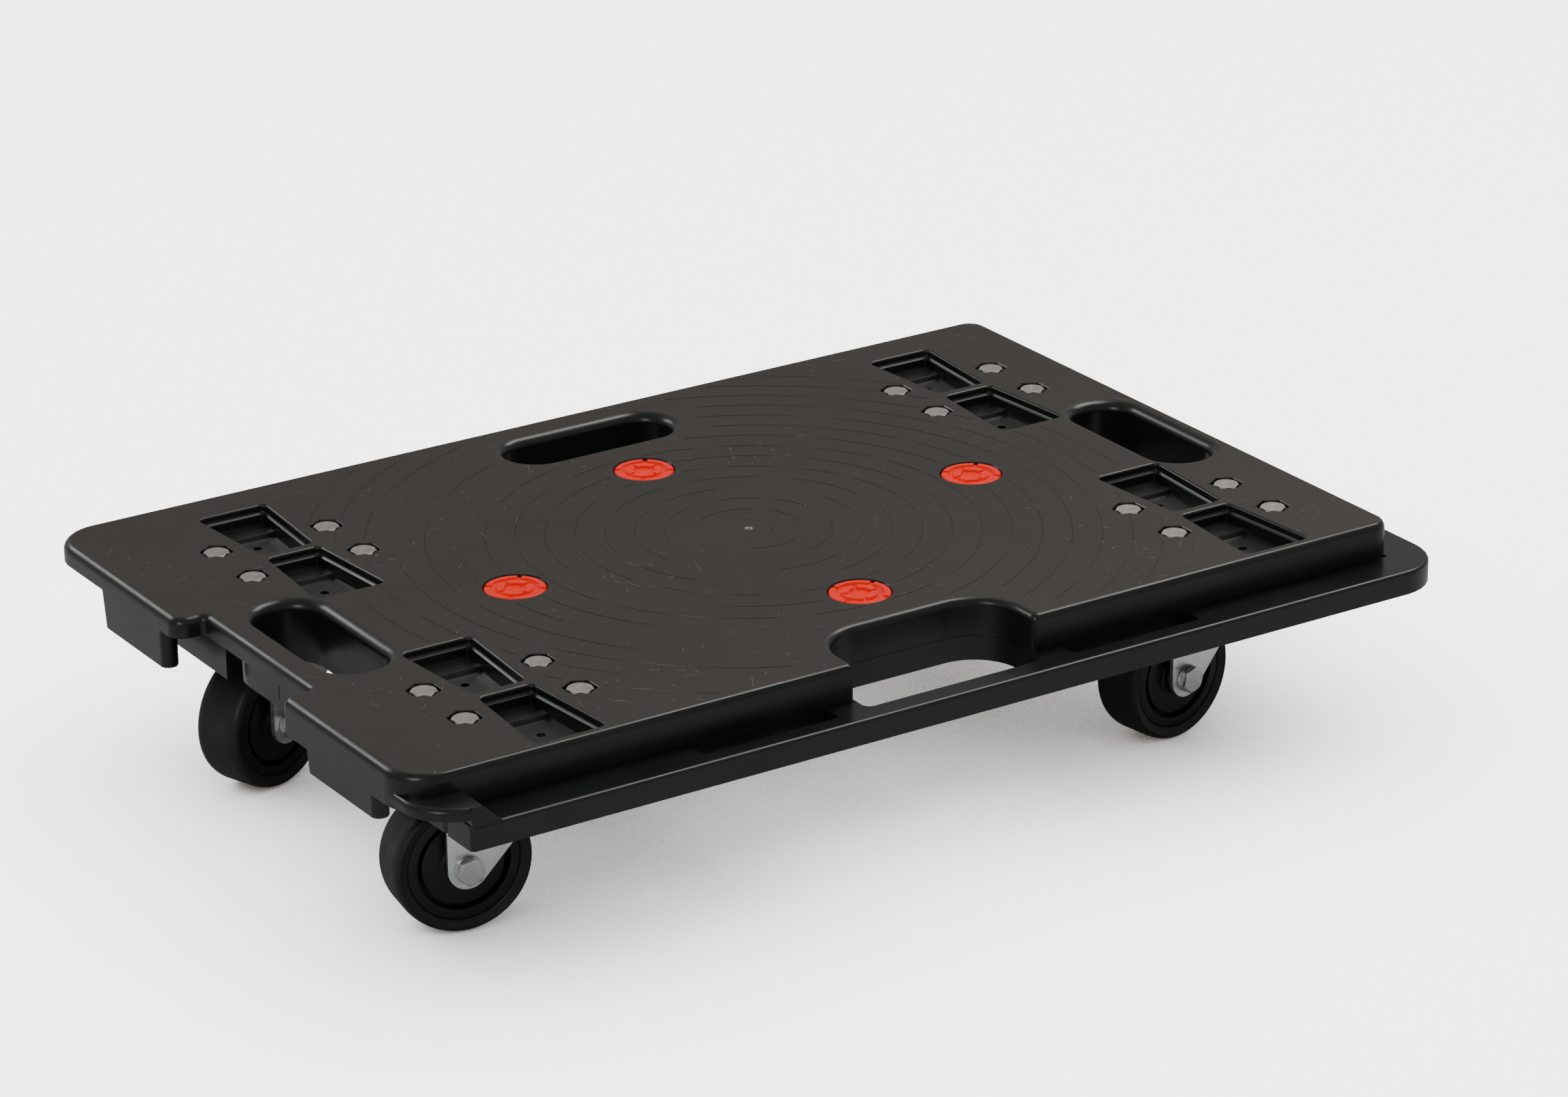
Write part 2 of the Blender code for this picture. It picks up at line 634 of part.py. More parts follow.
def make_caps(finish):
    rim_top = deck_top - CAP_SINK
    rim_low = rim_top - CAP_RIM
    profile = [(0.0, rim_low - CAP_STEM_LENGTH), (CAP_STEM_RADIUS, rim_low - CAP_STEM_LENGTH),
               (CAP_STEM_RADIUS, rim_low), (CAP_RADIUS, rim_low), (CAP_RADIUS, rim_top - CAP_EDGE),
               (CAP_RADIUS - CAP_EDGE, rim_top), (0.0, rim_top)]
    shape = object_from("cap", turned_solid(profile, CAP_SIDES), finish)
    shade_round(shape)
    for side, (x, y) in cap_places().items():
        copy_of(shape, "cap_" + side).location = (x * mm, y * mm, 0.0)
    discard(shape)


# ---------------------------------------------------------------- castors

def fork_outline():
    """Side view of the fork: crown at the top, legs raked back to the axle."""
    lean = math.radians(FORK_RAKE)
    low_turns = [math.pi + (math.pi / 2 + lean) * step / 6 for step in range(7)]
    foot = [(-TRAIL + FOOT_RADIUS * math.cos(turn), WHEEL_RADIUS + FOOT_RADIUS * math.sin(turn))
            for turn in low_turns]
    toe_x, toe_z = foot[-1]
    rise = (CROWN_FRONT - toe_x) * math.tan(lean)
    heel = -TRAIL - FOOT_RADIUS
    shoulder = crown_bottom - CROWN_SIDE
    return ([(CROWN_FRONT, toe_z + rise), (CROWN_FRONT, crown_top), (-CROWN_REAR, crown_top),
             (-CROWN_REAR, shoulder), (heel, shoulder - (TRAIL + FOOT_RADIUS - CROWN_REAR) * 0.8)] + foot)


def make_fork(finish):
    fork = object_from("fork", prism(fork_outline(), -fork_half_width, fork_half_width, axis="Y"), finish)
    inside = [(-2 * TRAIL, -fork_inside), (2 * TRAIL, -fork_inside),
              (2 * TRAIL, fork_inside), (-2 * TRAIL, fork_inside)]
    axle_bore = [(-TRAIL + x, WHEEL_RADIUS + z) for x, z in circle(bolt_hole, SMALL_SIDES)]
    cuts = [
        prism(inside, 0.0, crown_bottom),
        round_bar(0.0, 0.0, KINGPIN_RADIUS + RUNNING_GAP, crown_bottom - 1.0, crown_top + 1.0),
        prism(axle_bore, -fork_half_width - 1.0, fork_half_width + 1.0, axis="Y"),
    ]
    return combined(fork, cuts, "DIFFERENCE")


def make_plate(finish):
    x, y = plate_length / 2, plate_width / 2
    corner = 6.0
    outline = rounded_outline([(-x, -y, corner), (x, -y, corner), (x, y, corner), (-x, y, corner)])
    plate = object_from("plate", prism(outline, plate_bottom, plate_top), finish)
    holes = [round_bar(0.0, 0.0, KINGPIN_RADIUS + GAP, plate_bottom - 1.0, plate_top + 1.0)]
    for bolt_x, bolt_y in bolt_places(0.0, 0.0):
        holes.append(round_bar(bolt_x, bolt_y, bolt_hole, plate_bottom - 1.0, plate_top + 1.0))
    return combined(plate, holes, "DIFFERENCE")


def make_race(finish):
    low, high = crown_top + GAP, plate_bottom - GAP
    middle = (low + high) / 2
    profile = [(RACE_BORE, low), (RACE_RADIUS - 3.0, low), (RACE_RADIUS, middle), (RACE_RADIUS, high),
               (RACE_BORE, high)]
    return object_from("race", turned_solid(profile, SMALL_SIDES, closed=True), finish)


def make_king_pin(finish):
    head_top = crown_bottom - GAP
    head_low = head_top - KINGPIN_HEAD_HEIGHT
    profile = [(0.0, head_low), (KINGPIN_HEAD - 2.0, head_low), (KINGPIN_HEAD, head_low + 1.5),
               (KINGPIN_HEAD, head_top), (KINGPIN_RADIUS, head_top), (KINGPIN_RADIUS, plate_top),
               (0.0, plate_top)]
    return object_from("king_pin", turned_solid(profile, SMALL_SIDES), finish)


def make_deck_bolt(finish):
    """Hexagon bolt through deck and plate with its nut run on, as one piece."""
    head_low = below(head_recess) + GAP
    nut_top = plate_bottom - GAP
    nut_low = nut_top - NUT_HEIGHT
    head = prism(hexagon(0, 0, HEX_ACROSS), head_low, head_low + HEAD_HEIGHT)
    bolt = object_from("deck_bolt", head, finish)
    rest = [round_bar(0, 0, BOLT_RADIUS, nut_low - BOLT_TIP, head_low + 1.0),
            prism(hexagon(0, 0, HEX_ACROSS), nut_low, nut_top)]
    return combined(bolt, rest, "UNION")


def make_tyre(finish):
    bore = flats_at(core_radius + GAP, TYRE_SIDES)
    tread = flats_at(WHEEL_RADIUS, TYRE_SIDES)
    shoulder = tread - 1.6
    wall = bore + 2.0
    flat = WHEEL_HALF_WIDTH - TREAD_SHOULDER
    near = [(bore, core_half_width), (wall, WHEEL_HALF_WIDTH),
            (shoulder, WHEEL_HALF_WIDTH - 2.6), (tread, flat)]
    profile = [(radius, -height) for radius, height in near] + near[::-1]
    return object_from("tyre", laid_over(turned_solid(profile, TYRE_SIDES, closed=True)), finish)


def make_core(finish):
    bore = flats_at(sleeve_radius + RUNNING_GAP, CORE_SIDES)
    floor = core_half_width - GROOVE_DEPTH
    disc = core_half_width - 1.0
    near = [(bore, hub_half_length), (groove_inner, disc), (groove_inner, floor), (groove_outer, floor),
            (groove_outer, core_half_width), (core_radius, core_half_width)]
    near.insert(1, (hub_radius, hub_half_length))
    near.insert(2, (hub_radius, disc))
    profile = [(radius, -height) for radius, height in near] + near[::-1]
    return object_from("core", laid_over(turned_solid(profile, CORE_SIDES, closed=True)), finish)


def make_sleeve(finish):
    end = fork_inside - GAP
    bore = flats_at(bolt_hole, SMALL_SIDES)
    profile = [(bore, -end), (sleeve_radius, -end), (sleeve_radius, end), (bore, end)]
    return object_from("sleeve", laid_over(turned_solid(profile, SMALL_SIDES, closed=True)), finish)


def make_axle_bolt(finish):
    head_low = fork_half_width + GAP
    tip = -(fork_half_width + GAP + NUT_HEIGHT + BOLT_TIP)
    bolt = object_from("axle_bolt", laid_over(prism(hexagon(0, 0, HEX_ACROSS, AXLE_HEX_TURN), head_low,
                                                    head_low + HEAD_HEIGHT)), finish)
    return combined(bolt, [laid_over(round_bar(0, 0, BOLT_RADIUS, tip, head_low + 1.0))], "UNION")


def make_axle_nut(finish):
    top = -(fork_half_width + GAP)
    nut = object_from("axle_nut", laid_over(prism(hexagon(0, 0, HEX_ACROSS), top - NUT_HEIGHT, top)), finish)
    hole = round_bar(0, 0, flats_at(BOLT_RADIUS + GAP, SMALL_SIDES), top - NUT_HEIGHT - 1.0, top + 1.0)
    return combined(nut, [laid_over(hole)], "DIFFERENCE")


def make_castors(zinc, rubber, core_plastic):
    axle = (-TRAIL * mm, 0.0, WHEEL_RADIUS * mm)
    fixed = {"plate": make_plate(zinc), "ball_race": make_race(zinc), "king_pin": make_king_pin(zinc)}
    deck_bolt = make_deck_bolt(zinc)
    fork = make_fork(zinc)
    on_axle = {"tyre": make_tyre(rubber), "wheel_core": make_core(core_plastic),
               "axle_sleeve": make_sleeve(zinc), "axle_bolt": make_axle_bolt(zinc),
               "axle_nut": make_axle_nut(zinc)}
    for shape in (*fixed.values(), *on_axle.values()):
        shade_round(shape)
    for name, (x, y) in CASTORS.items():
        seat = empty(name + "_seat", (x * mm, y * mm, 0.0))
        swivel = empty(name + "_swivel", (x * mm, y * mm, 0.0))
        swivel.rotation_euler.z = math.radians(CASTOR_YAW[name])
        for piece, shape in fixed.items():
            copy_of(shape, name + "_" + piece).parent = seat
        for number, (bolt_x, bolt_y) in enumerate(bolt_places(0.0, 0.0), start=1):
            bolt = copy_of(deck_bolt, name + "_deck_bolt_%d" % number)
            bolt.parent = seat
            bolt.location = (bolt_x * mm, bolt_y * mm, 0.0)
        copy_of(fork, name + "_fork").parent = swivel
        for piece, shape in on_axle.items():
            part = copy_of(shape, name + "_" + piece)
            part.parent = swivel
            part.location = axle
    for shape in (*fixed.values(), *on_axle.values(), deck_bolt, fork):
        discard(shape)


def main():
    clear_scene()
    deck_plastic = material("deck_plastic", (0.048, 0.042, 0.035), 0.55)
    cap_plastic = material("cap_plastic", (0.90, 0.08, 0.035), 0.4)
    zinc = material("zinc_plate", (0.60, 0.62, 0.64), 0.3, 1.0)
    rubber = material("tyre_rubber", (0.017, 0.018, 0.020), 0.5)
    core_plastic = material("wheel_plastic", (0.020, 0.021, 0.022), 0.45)
    make_deck(deck_plastic)
    make_caps(cap_plastic)
    make_castors(zinc, rubber, core_plastic)


main()
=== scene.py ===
import json
import math
import random

import bmesh
import bpy
from mathutils import Matrix, Vector


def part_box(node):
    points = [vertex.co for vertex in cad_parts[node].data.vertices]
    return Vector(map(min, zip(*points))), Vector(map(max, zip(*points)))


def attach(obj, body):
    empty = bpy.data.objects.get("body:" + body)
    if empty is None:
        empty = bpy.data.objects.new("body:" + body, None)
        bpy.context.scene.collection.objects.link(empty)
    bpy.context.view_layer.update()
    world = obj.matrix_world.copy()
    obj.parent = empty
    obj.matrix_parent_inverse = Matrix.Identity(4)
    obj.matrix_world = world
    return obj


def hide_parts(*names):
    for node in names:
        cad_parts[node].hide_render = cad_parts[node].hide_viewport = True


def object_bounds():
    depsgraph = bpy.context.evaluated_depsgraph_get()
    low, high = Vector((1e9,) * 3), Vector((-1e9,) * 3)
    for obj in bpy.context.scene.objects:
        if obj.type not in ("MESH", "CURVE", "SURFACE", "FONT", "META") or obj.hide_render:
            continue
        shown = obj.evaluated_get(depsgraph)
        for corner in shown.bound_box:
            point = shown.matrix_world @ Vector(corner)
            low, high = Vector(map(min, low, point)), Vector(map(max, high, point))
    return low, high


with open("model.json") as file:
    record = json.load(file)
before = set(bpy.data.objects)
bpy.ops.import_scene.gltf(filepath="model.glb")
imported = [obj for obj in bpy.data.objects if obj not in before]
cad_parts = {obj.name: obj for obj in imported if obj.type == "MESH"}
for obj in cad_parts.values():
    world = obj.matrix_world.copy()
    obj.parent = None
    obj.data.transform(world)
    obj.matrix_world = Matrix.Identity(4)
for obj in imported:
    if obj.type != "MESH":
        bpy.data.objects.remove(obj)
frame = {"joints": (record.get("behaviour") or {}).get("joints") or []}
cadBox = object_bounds()

mm = 0.001
castorNames = ["front_left", "front_right", "back_left", "back_right"]


# levels and edges of the moulded deck, millimetres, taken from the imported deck
deckLow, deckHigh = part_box("deck")
halfLength = deckHigh.x / mm
halfWidth = deckHigh.y / mm
deckTop = deckHigh.z / mm
deckBottom = deckLow.z / mm

deck = {
    "linkX": 23.0,             # left lip and right ledge stand out this far
    "linkY": 22.0,             # back lip and front ledge
    "thinLip": 11.0,           # drops below the load face
    "thickLip": 20.0,
    "ledge": 21.0,
    "skin": 3.5,
    "wall": 3.0,
    "topRound": 5.0,           # moulded edge round the load face
    "frontShare": 0.62,        # the front edge is rounded more tightly
    "lipCorner": 26.0,
    "frontLipCorner": 24.0,
    "bodyCorner": 12.0,
    "ledgeCorner": 30.0,
    "ledgeRound": 2.2,
    "notchHalf": 58.0,
    "notchDepth": 17.0,
    "seatDrop": 24.0,
    "skirtInset": 0.4,         # skirts stand just inside the load face's edge
    "underWallStop": 47.0,     # the left skirt steps in here, round the hand hole
    "ribDrop": 30.0,
}
bodyX = halfLength - deck["linkX"]
bodyY = halfWidth - deck["linkY"]


def ringOf(corners, grow=0.0, steps=8):
    # corners run anticlockwise as (x, y, radius, share)
    # share scales how far the edge that starts there grows
    full = [(Vector(c[:2]), c[2] if len(c) > 2 else 0.0, c[3] if len(c) > 3 else 1.0) for c in corners]
    lines = []
    for index, (start, _, share) in enumerate(full):
        along = (full[(index + 1) % len(full)][0] - start).normalized()
        lines.append((start + Vector((along.y, -along.x)) * grow * share, along, grow * share))
    points = []
    for index, (_, radius, _) in enumerate(full):
        before, alongBefore, shiftBefore = lines[index - 1]
        after, alongAfter, shiftAfter = lines[index]
        turn = alongBefore.x * alongAfter.y - alongBefore.y * alongAfter.x
        gap = after - before
        corner = before + alongBefore * ((gap.x * alongAfter.y - gap.y * alongAfter.x) / turn)
        if radius <= 0.0:
            points.append(corner)
            continue
        angle = math.atan2(turn, alongBefore.dot(alongAfter))
        sign = math.copysign(1.0, turn)
        radius = max(0.05, radius + sign * (shiftBefore + shiftAfter) / 2)
        start = corner - alongBefore * radius * math.tan(abs(angle) / 2)
        centre = start + Vector((-alongBefore.y, alongBefore.x)) * radius * sign
        for step in range(steps + 1):
            points.append(centre + Matrix.Rotation(angle * step / steps, 2) @ (start - centre))
    return points


def loft(rings):
    # rings from the lowest to the highest, each (points, height), all with the same count
    made = bmesh.new()
    loops = [[made.verts.new((p.x * mm, p.y * mm, height * mm)) for p in points] for points, height in rings]
    count = len(loops[0])
    for low, high in zip(loops, loops[1:]):
        for index in range(count):
            after = (index + 1) % count
            made.faces.new((low[index], low[after], high[after], high[index]))
    made.faces.new(loops[0][::-1])
    made.faces.new(loops[-1])
    return made


def roundedPrism(corners, low, high, topRound=0.0, bottomRound=0.0, steps=8, turns=5):
    rings = []
    for turn in range(turns + 1) if bottomRound else [turns]:
        angle = math.pi / 2 * turn / turns
        rings.append((ringOf(corners, bottomRound * (math.sin(angle) - 1), steps),
                      low + bottomRound * (1 - math.cos(angle))))
    for turn in range(turns + 1) if topRound else [0]:
        angle = math.pi / 2 * turn / turns
        rings.append((ringOf(corners, topRound * (math.cos(angle) - 1), steps),
                      high - topRound * (1 - math.sin(angle))))
    return loft(rings)


def flaredCutter(corners, low, flare, steps=8, turns=6):
    # cuts a hole whose rim rolls over into the load face
    rings = [(ringOf(corners, 0.0, steps), low)]
    for turn in range(turns + 1):
        angle = math.radians(84) * turn / turns
        grow = flare * (1 - math.cos(angle))
        rings.append((ringOf(corners, grow, steps), deckTop - flare * (1 - math.sin(angle))))
    rings.append((ringOf(corners, grow, steps), deckTop + 1.0))
    return loft(rings)


def boxShape(low, high):
    corners = [(low[0], low[1]), (high[0], low[1]), (high[0], high[1]), (low[0], high[1])]
    return loft([(ringOf(corners), low[2]), (ringOf(corners), high[2])])


def circleOf(x, y, radius, sides, turn=0.0):
    angles = [turn + 2 * math.pi * step / sides for step in range(sides)]
    return [Vector((x + radius * math.cos(angle), y + radius * math.sin(angle))) for angle in angles]


def roundBar(x, y, radius, low, high, sides=32):
    circle = circleOf(x, y, radius, sides)
    return loft([(circle, low), (circle, high)])


def turned(profile, sides=64, closed=False):
    # (radius, height) profile turned round Z; an open one starts and ends on the axis
    made = bmesh.new()
    start = [made.verts.new((radius * mm, 0, height * mm)) for radius, height in profile]
    count = len(start) if closed else len(start) - 1
    edges = [made.edges.new((start[i], start[(i + 1) % len(start)])) for i in range(count)]
    bmesh.ops.spin(made, geom=start + edges, axis=(0, 0, 1), cent=(0, 0, 0), steps=sides,
                   angle=2 * math.pi, use_merge=True)
    bmesh.ops.remove_doubles(made, verts=made.verts, dist=1e-6)
    bmesh.ops.recalc_face_normals(made, faces=made.faces)
    return made


def laidOver(made):
    # the axis along Z turns to lie along Y, its top to the front
    bmesh.ops.rotate(made, verts=made.verts, cent=(0, 0, 0), matrix=Matrix.Rotation(math.pi / 2, 3, "X"))
    return made


def objectFrom(name, shapes, finish=None):
    mesh = bpy.data.meshes.new(name)
    whole = bmesh.new()
    for shape in shapes if isinstance(shapes, list) else [shapes]:
        part = bpy.data.meshes.new("part")
        shape.to_mesh(part)
        shape.free()
        whole.from_mesh(part)
        bpy.data.meshes.remove(part)
    whole.to_mesh(mesh)
    whole.free()
    if finish:
        mesh.materials.append(finish)
    made = bpy.data.objects.new(name, mesh)
    bpy.context.scene.collection.objects.link(made)
    return made


def combine(body, shapes, operation):
    # shapes in one call must not touch each other
    helper = shapes if isinstance(shapes, bpy.types.Object) else objectFrom("helper", shapes)
    step = body.modifiers.new("combine", "BOOLEAN")
    step.operation = operation
    step.solver = "EXACT"
    step.object = helper
    bpy.context.view_layer.update()
    result = bpy.data.meshes.new_from_object(body.evaluated_get(bpy.context.evaluated_depsgraph_get()))
    body.modifiers.clear()
    old = body.data
    body.data = result
    bpy.data.meshes.remove(old)
    bpy.data.objects.remove(helper, do_unlink=True)
    return body


def cut(body, shapes):
    return combine(body, shapes, "DIFFERENCE")


def fuse(body, shapes):
    return combine(body, shapes, "UNION")


def joinInto(piece, other):
    for item in bpy.context.selected_objects:
        item.select_set(False)
    bpy.context.view_layer.objects.active = piece
    piece.select_set(True)
    other.select_set(True)
    bpy.ops.object.join()


def smooth(piece, angle=32.0):
    piece.data.shade_smooth()
    piece.data.set_sharp_from_angle(angle=math.radians(angle))
    weighted = piece.modifiers.new("even shading", "WEIGHTED_NORMAL")
    weighted.keep_sharp = True
    weighted.weight = 100
    return piece


class Nodes:
    # short ways to add nodes to one tree and join them

    def __init__(self, tree):
        self.tree = tree

    def put(self, value, socket):
        if isinstance(value, bpy.types.NodeSocket):
            self.tree.links.new(value, socket)
        else:
            socket.default_value = value

    def add(self, kind, *inputs, **values):
        node = self.tree.nodes.new("ShaderNode" + kind)
        for key, value in values.items():
            if hasattr(node, key):
                setattr(node, key, value)
            else:
                self.put(value, node.inputs[key.replace("_", " ")])
        for socket, value in zip(node.inputs, inputs):
            self.put(value, socket)
        return node

    def place(self, kind="Object"):
        return self.add("TexCoord").outputs[kind]

    def axes(self, source):
        return self.add("SeparateXYZ", source).outputs

    def maths(self, kind, first, second=0.0):
        return self.add("Math", first, second, operation=kind).outputs["Value"]

    def ramp(self, source, stops):
        node = self.add("ValToRGB", Fac=source)
        elements = node.color_ramp.elements
        while len(elements) < len(stops):
            elements.new(0.5)
        for element, (place, colour) in zip(elements, stops):
            element.position = place
            element.color = (*(colour if isinstance(colour, (tuple, list)) else [colour] * 3), 1.0)
        return node.outputs["Color"]

    def mixed(self, factor, first, second, blend="MIX"):
        node = self.add("Mix", factor, data_type="RGBA", blend_type=blend)
        self.put(first, node.inputs[6])
        self.put(second, node.inputs[7])
        return node.outputs[2]

    def times(self, first, second):
        return self.mixed(1.0, first, second, "MULTIPLY")

    def noise(self, scale, detail, stretch=None):
        place = self.place()
        if stretch:
            place = self.add("Mapping", Vector=place, Scale=stretch).outputs["Vector"]
        return self.add("TexNoise", Vector=place, Scale=scale, Detail=detail, Roughness=0.5).outputs["Fac"]

    def bump(self, height, strength, distance):
        return self.add("Bump", Strength=strength, Distance=distance, Height=height)


class Finish(Nodes):
    def __init__(self, name, roughness, metallic=0.0, gloss=0.5):
        self.material = bpy.data.materials.new(name)
        self.material.use_nodes = True
        super().__init__(self.material.node_tree)
        self.shader = self.tree.nodes["Principled BSDF"].inputs
        self.shader["Roughness"].default_value = roughness
        self.shader["Metallic"].default_value = metallic
        self.shader["Specular IOR Level"].default_value = gloss


deckFinish = {
    "top": (0.0200, 0.0165, 0.0124),   # the grained load face: its own tone, painted lighter where the overhead light falls on it
    "side": (0.0062, 0.0068, 0.0071),  # the smooth moulded sides: their own tone, painted darker as the shaded sides of the same plastic
    "scratch": (0.15, 0.14, 0.125, 1.0),
    "mark": (0.20, 0.195, 0.185, 1.0),  # the ring in the middle
    "topRoughness": 0.58,
    "sideRoughness": 0.24,
    "gloss": 0.34,
    "grain": 1500.0,
}


def deckMaterial():
    made = Finish("deckPlastic", 0.5, gloss=deckFinish["gloss"])
    top, side = deckFinish["top"], deckFinish["side"]
    facing = made.ramp(made.axes(made.place("Normal"))["Z"], [(0.90, 0.0), (0.995, 1.0)])
    height = made.add("MapRange", Value=made.axes(made.place())["Z"],
                      From_Min=(deckTop - 1.2) * mm, From_Max=(deckTop - 0.2) * mm)
    upward = made.times(facing, height.outputs["Result"])
    litTopTone = made.ramp(made.noise(9.0, 5.0), [(0.3, [v * 0.9 for v in top]), (0.7, [v * 1.1 for v in top])])
    shadedSideTone = made.ramp(made.noise(14.0, 3.0),
                         [(0.3, [v * 0.85 for v in side]), (0.7, [v * 1.2 for v in side])])
    # painted light: the up-facing load face takes the lighter top tone, every other face the darker side tone
    tone = made.mixed(upward, shadedSideTone, litTopTone)
    short, long = scratches(made, 0.012, 0.0040, 0.00020), scratches(made, 0.029, 0.0130, 0.00014)
    worn = made.mixed(1.0, short, long, "ADD")
    specks = made.ramp(made.noise(700.0, 2.0), [(0.74, 0.0), (0.79, 0.5)])
    worn = made.times(made.mixed(1.0, worn, specks, "ADD"), upward)
    patches = made.ramp(made.noise(11.0, 3.0), [(0.42, 0.16), (0.62, 0.75)])
    tone = made.mixed(made.times(worn, patches), tone, deckFinish["scratch"])
    flat = made.add("VectorMath", made.place(), (100.0, 100.0, 0.0), operation="MULTIPLY").outputs["Vector"]
    fromMiddle = made.add("VectorMath", flat, operation="LENGTH").outputs["Value"]
    ring = made.ramp(fromMiddle, [(0.08, 0.0), (0.11, 1.0), (0.21, 1.0), (0.24, 0.0)])
    made.put(made.mixed(ring, tone, deckFinish["mark"]), made.shader["Base Color"])
    low, high = deckFinish["sideRoughness"], deckFinish["topRoughness"]
    rough = made.mixed(upward, made.ramp(made.noise(30.0, 4.0), [(0.3, low), (0.75, low + 0.12)]),
                       made.ramp(made.noise(22.0, 4.0), [(0.3, high), (0.75, high + 0.1)]))
    made.put(rough, made.shader["Roughness"])
    grain = made.bump(made.times(made.noise(deckFinish["grain"], 2.0), upward), 0.22, 0.0002)
    flow = made.bump(made.noise(26.0, 2.0), 0.12, 0.0010)
    made.put(grain.outputs["Normal"], flow.inputs["Normal"])
    made.put(flow.outputs["Normal"], made.shader["Normal"])
    return made.material


def scratches(made, cell, length, width, share=0.5):
    # one short straight scratch, turned at random, in some of the cells
    place = made.place()
    cells = made.add("TexVoronoi", voronoi_dimensions="2D", Vector=place, Scale=1.0 / cell).outputs
    offset = made.add("VectorMath", place, cells["Position"], operation="SUBTRACT").outputs["Vector"]
    local, chance = made.axes(offset), made.axes(cells["Color"])
    turn = made.maths("MULTIPLY", chance["X"], 2 * math.pi)
    cosine, sine = made.maths("COSINE", turn), made.maths("SINE", turn)

    def part(axis, scale):
        return made.maths("MULTIPLY", local[axis], scale)

    along = made.maths("ABSOLUTE", made.maths("ADD", part("X", cosine), part("Y", sine)))
    across = made.maths("ABSOLUTE", made.maths("SUBTRACT", part("Y", cosine), part("X", sine)))
    inLength = made.maths("LESS_THAN", along, made.maths("MULTIPLY", chance["Y"], length / 2))
    inWidth = made.maths("LESS_THAN", across, width)
    chosen = made.maths("LESS_THAN", chance["Z"], share)
    return made.maths("MULTIPLY", made.maths("MULTIPLY", inLength, inWidth), chosen)


# tones from low to high; clouds, rough and bump start with the scale and detail of their noise
zinc = {"metallic": 1.0, "until": 0.7, "clouds": (160.0, 5.0), "rough": (90.0, 3.0, (1.0, 1.0, 9.0)),
        "roughStep": 0.16, "bump": (700.0, 3.0, 0.12, 0.0001)}
finishTable = {
    "cap": {"name": "redPlug", "low": (0.84, 0.009, 0.002), "high": (0.94, 0.014, 0.004), "until": 0.7,
            "gloss": 0.2, "roughness": 0.42, "clouds": (120.0, 4.0), "bump": (1800.0, 2.0, 0.15, 0.0001)},
    "fork": {"name": "forkZinc", "low": (0.68, 0.70, 0.72), "high": (0.80, 0.82, 0.83),
             "roughness": 0.30, **zinc},
    "bolt": {"name": "boltZinc", "low": (0.46, 0.46, 0.45), "high": (0.60, 0.60, 0.59),
             "roughness": 0.24, **zinc},
    "head": {"name": "boltHead", "low": (0.33, 0.31, 0.29), "high": (0.45, 0.43, 0.40),
             "roughness": 0.42, **zinc},
    "tyre": {"name": "tyreRubber", "low": (0.0075, 0.0082, 0.0086), "high": (0.0135, 0.0144, 0.0148),
             "until": 0.72, "gloss": 0.3, "roughness": 0.42, "clouds": (70.0, 5.0), "rough": (110.0, 4.0),
             "roughStep": 0.14, "bump": (900.0, 3.0, 0.16, 0.00015)},
    "core": {"name": "wheelPlastic", "low": (0.006, 0.0066, 0.007), "high": (0.010, 0.0108, 0.0112),
             "until": 0.72, "gloss": 0.3, "roughness": 0.36, "clouds": (90.0, 4.0), "rough": (60.0, 3.0),
             "roughStep": 0.12, "bump": (1200.0, 2.0, 0.12, 0.0001)},
}


def clouded(wanted):
    roughness = wanted["roughness"]
    made = Finish(wanted["name"], roughness, wanted.get("metallic", 0.0), wanted.get("gloss", 0.5))
    tone = made.ramp(made.noise(*wanted["clouds"]), [(0.3, wanted["low"]), (wanted["until"], wanted["high"])])
    made.put(tone, made.shader["Base Color"])
    if "rough" in wanted:
        stops = [(0.3, roughness), (0.75, roughness + wanted["roughStep"])]
        made.put(made.ramp(made.noise(*wanted["rough"]), stops), made.shader["Roughness"])
    scale, detail, strength, distance = wanted["bump"]
    bumps = made.bump(made.noise(scale, detail), strength, distance)
    made.put(bumps.outputs["Normal"], made.shader["Normal"])
    return made.material


finishes = {key: clouded(wanted) for key, wanted in finishTable.items()}
finishes["deck"] = deckMaterial()
print("materials made")


holes = {
    "length": 111.0,
    "width": 45.0,
    "insetX": 8.5,             # body side to the left and right holes
    "rim": 6.0,                # rolled rim round each hole
    "wallInset": 3.6,          # the hole's walls stand inside its outline, under the rim
    "gripDepth": 42.0,
    "gripBar": 13.0,
    "gripCorner": 27.0,
    "gripRim": 4.0,
    "gripMouth": 5.0,          # rounding where the recess meets the front wall
}
lugs = {
    "start": 77.0,             # lugs and slots, from the middle of the side
    "length": 74.0,
    "thickness": 10.0,
    "setback": 2.0,
    "taper": 5.0,
    "slotRoom": 4.0,
    "slotWidth": 11.5,
}
castors = {
    "x": 220.0,
    "y": 113.0,
    "plateLength": 84.0,
    "plateWidth": 58.0,
    "plateThickness": 3.0,
    "seatMargin": 4.0,
    "boltX": 66.8,
    "boltY": 41.7,
    "boltRadius": 4.0,
    "headRecess": 5.9,
    "headRecessAcross": 16.0,
}
pockets = {
    "inner": 31.5,
    "outer": 41.6,
    "length": 65.5,
    "gap": 3.0,
    "depth": 11.8,
    "shelf": 4.6,              # a shelf runs round the pocket this far down
    "shelfWidth": 2.2,
    "stepFrom": 19.0,          # the back of the floor is raised, this far from the pocket's back edge
    "stepHeight": 2.4,
    "drain": 2.4,
    "drainPlace": 38.0,        # from the castor's centre line
    "rim": 1.5,
}
plugs = {
    "radius": 16.7,
    "x": 146.3,
    "y": 108.1,
    "socket": 11.0,
}


def below(drop):
    return deckTop - drop


def handHoles():
    side = bodyX - holes["insetX"] - holes["width"] / 2
    back = bodyY - holes["gripDepth"] + holes["width"] / 2
    return [(-side, 0.0, "Y"), (side, 0.0, "Y"), (0.0, back, "X")]


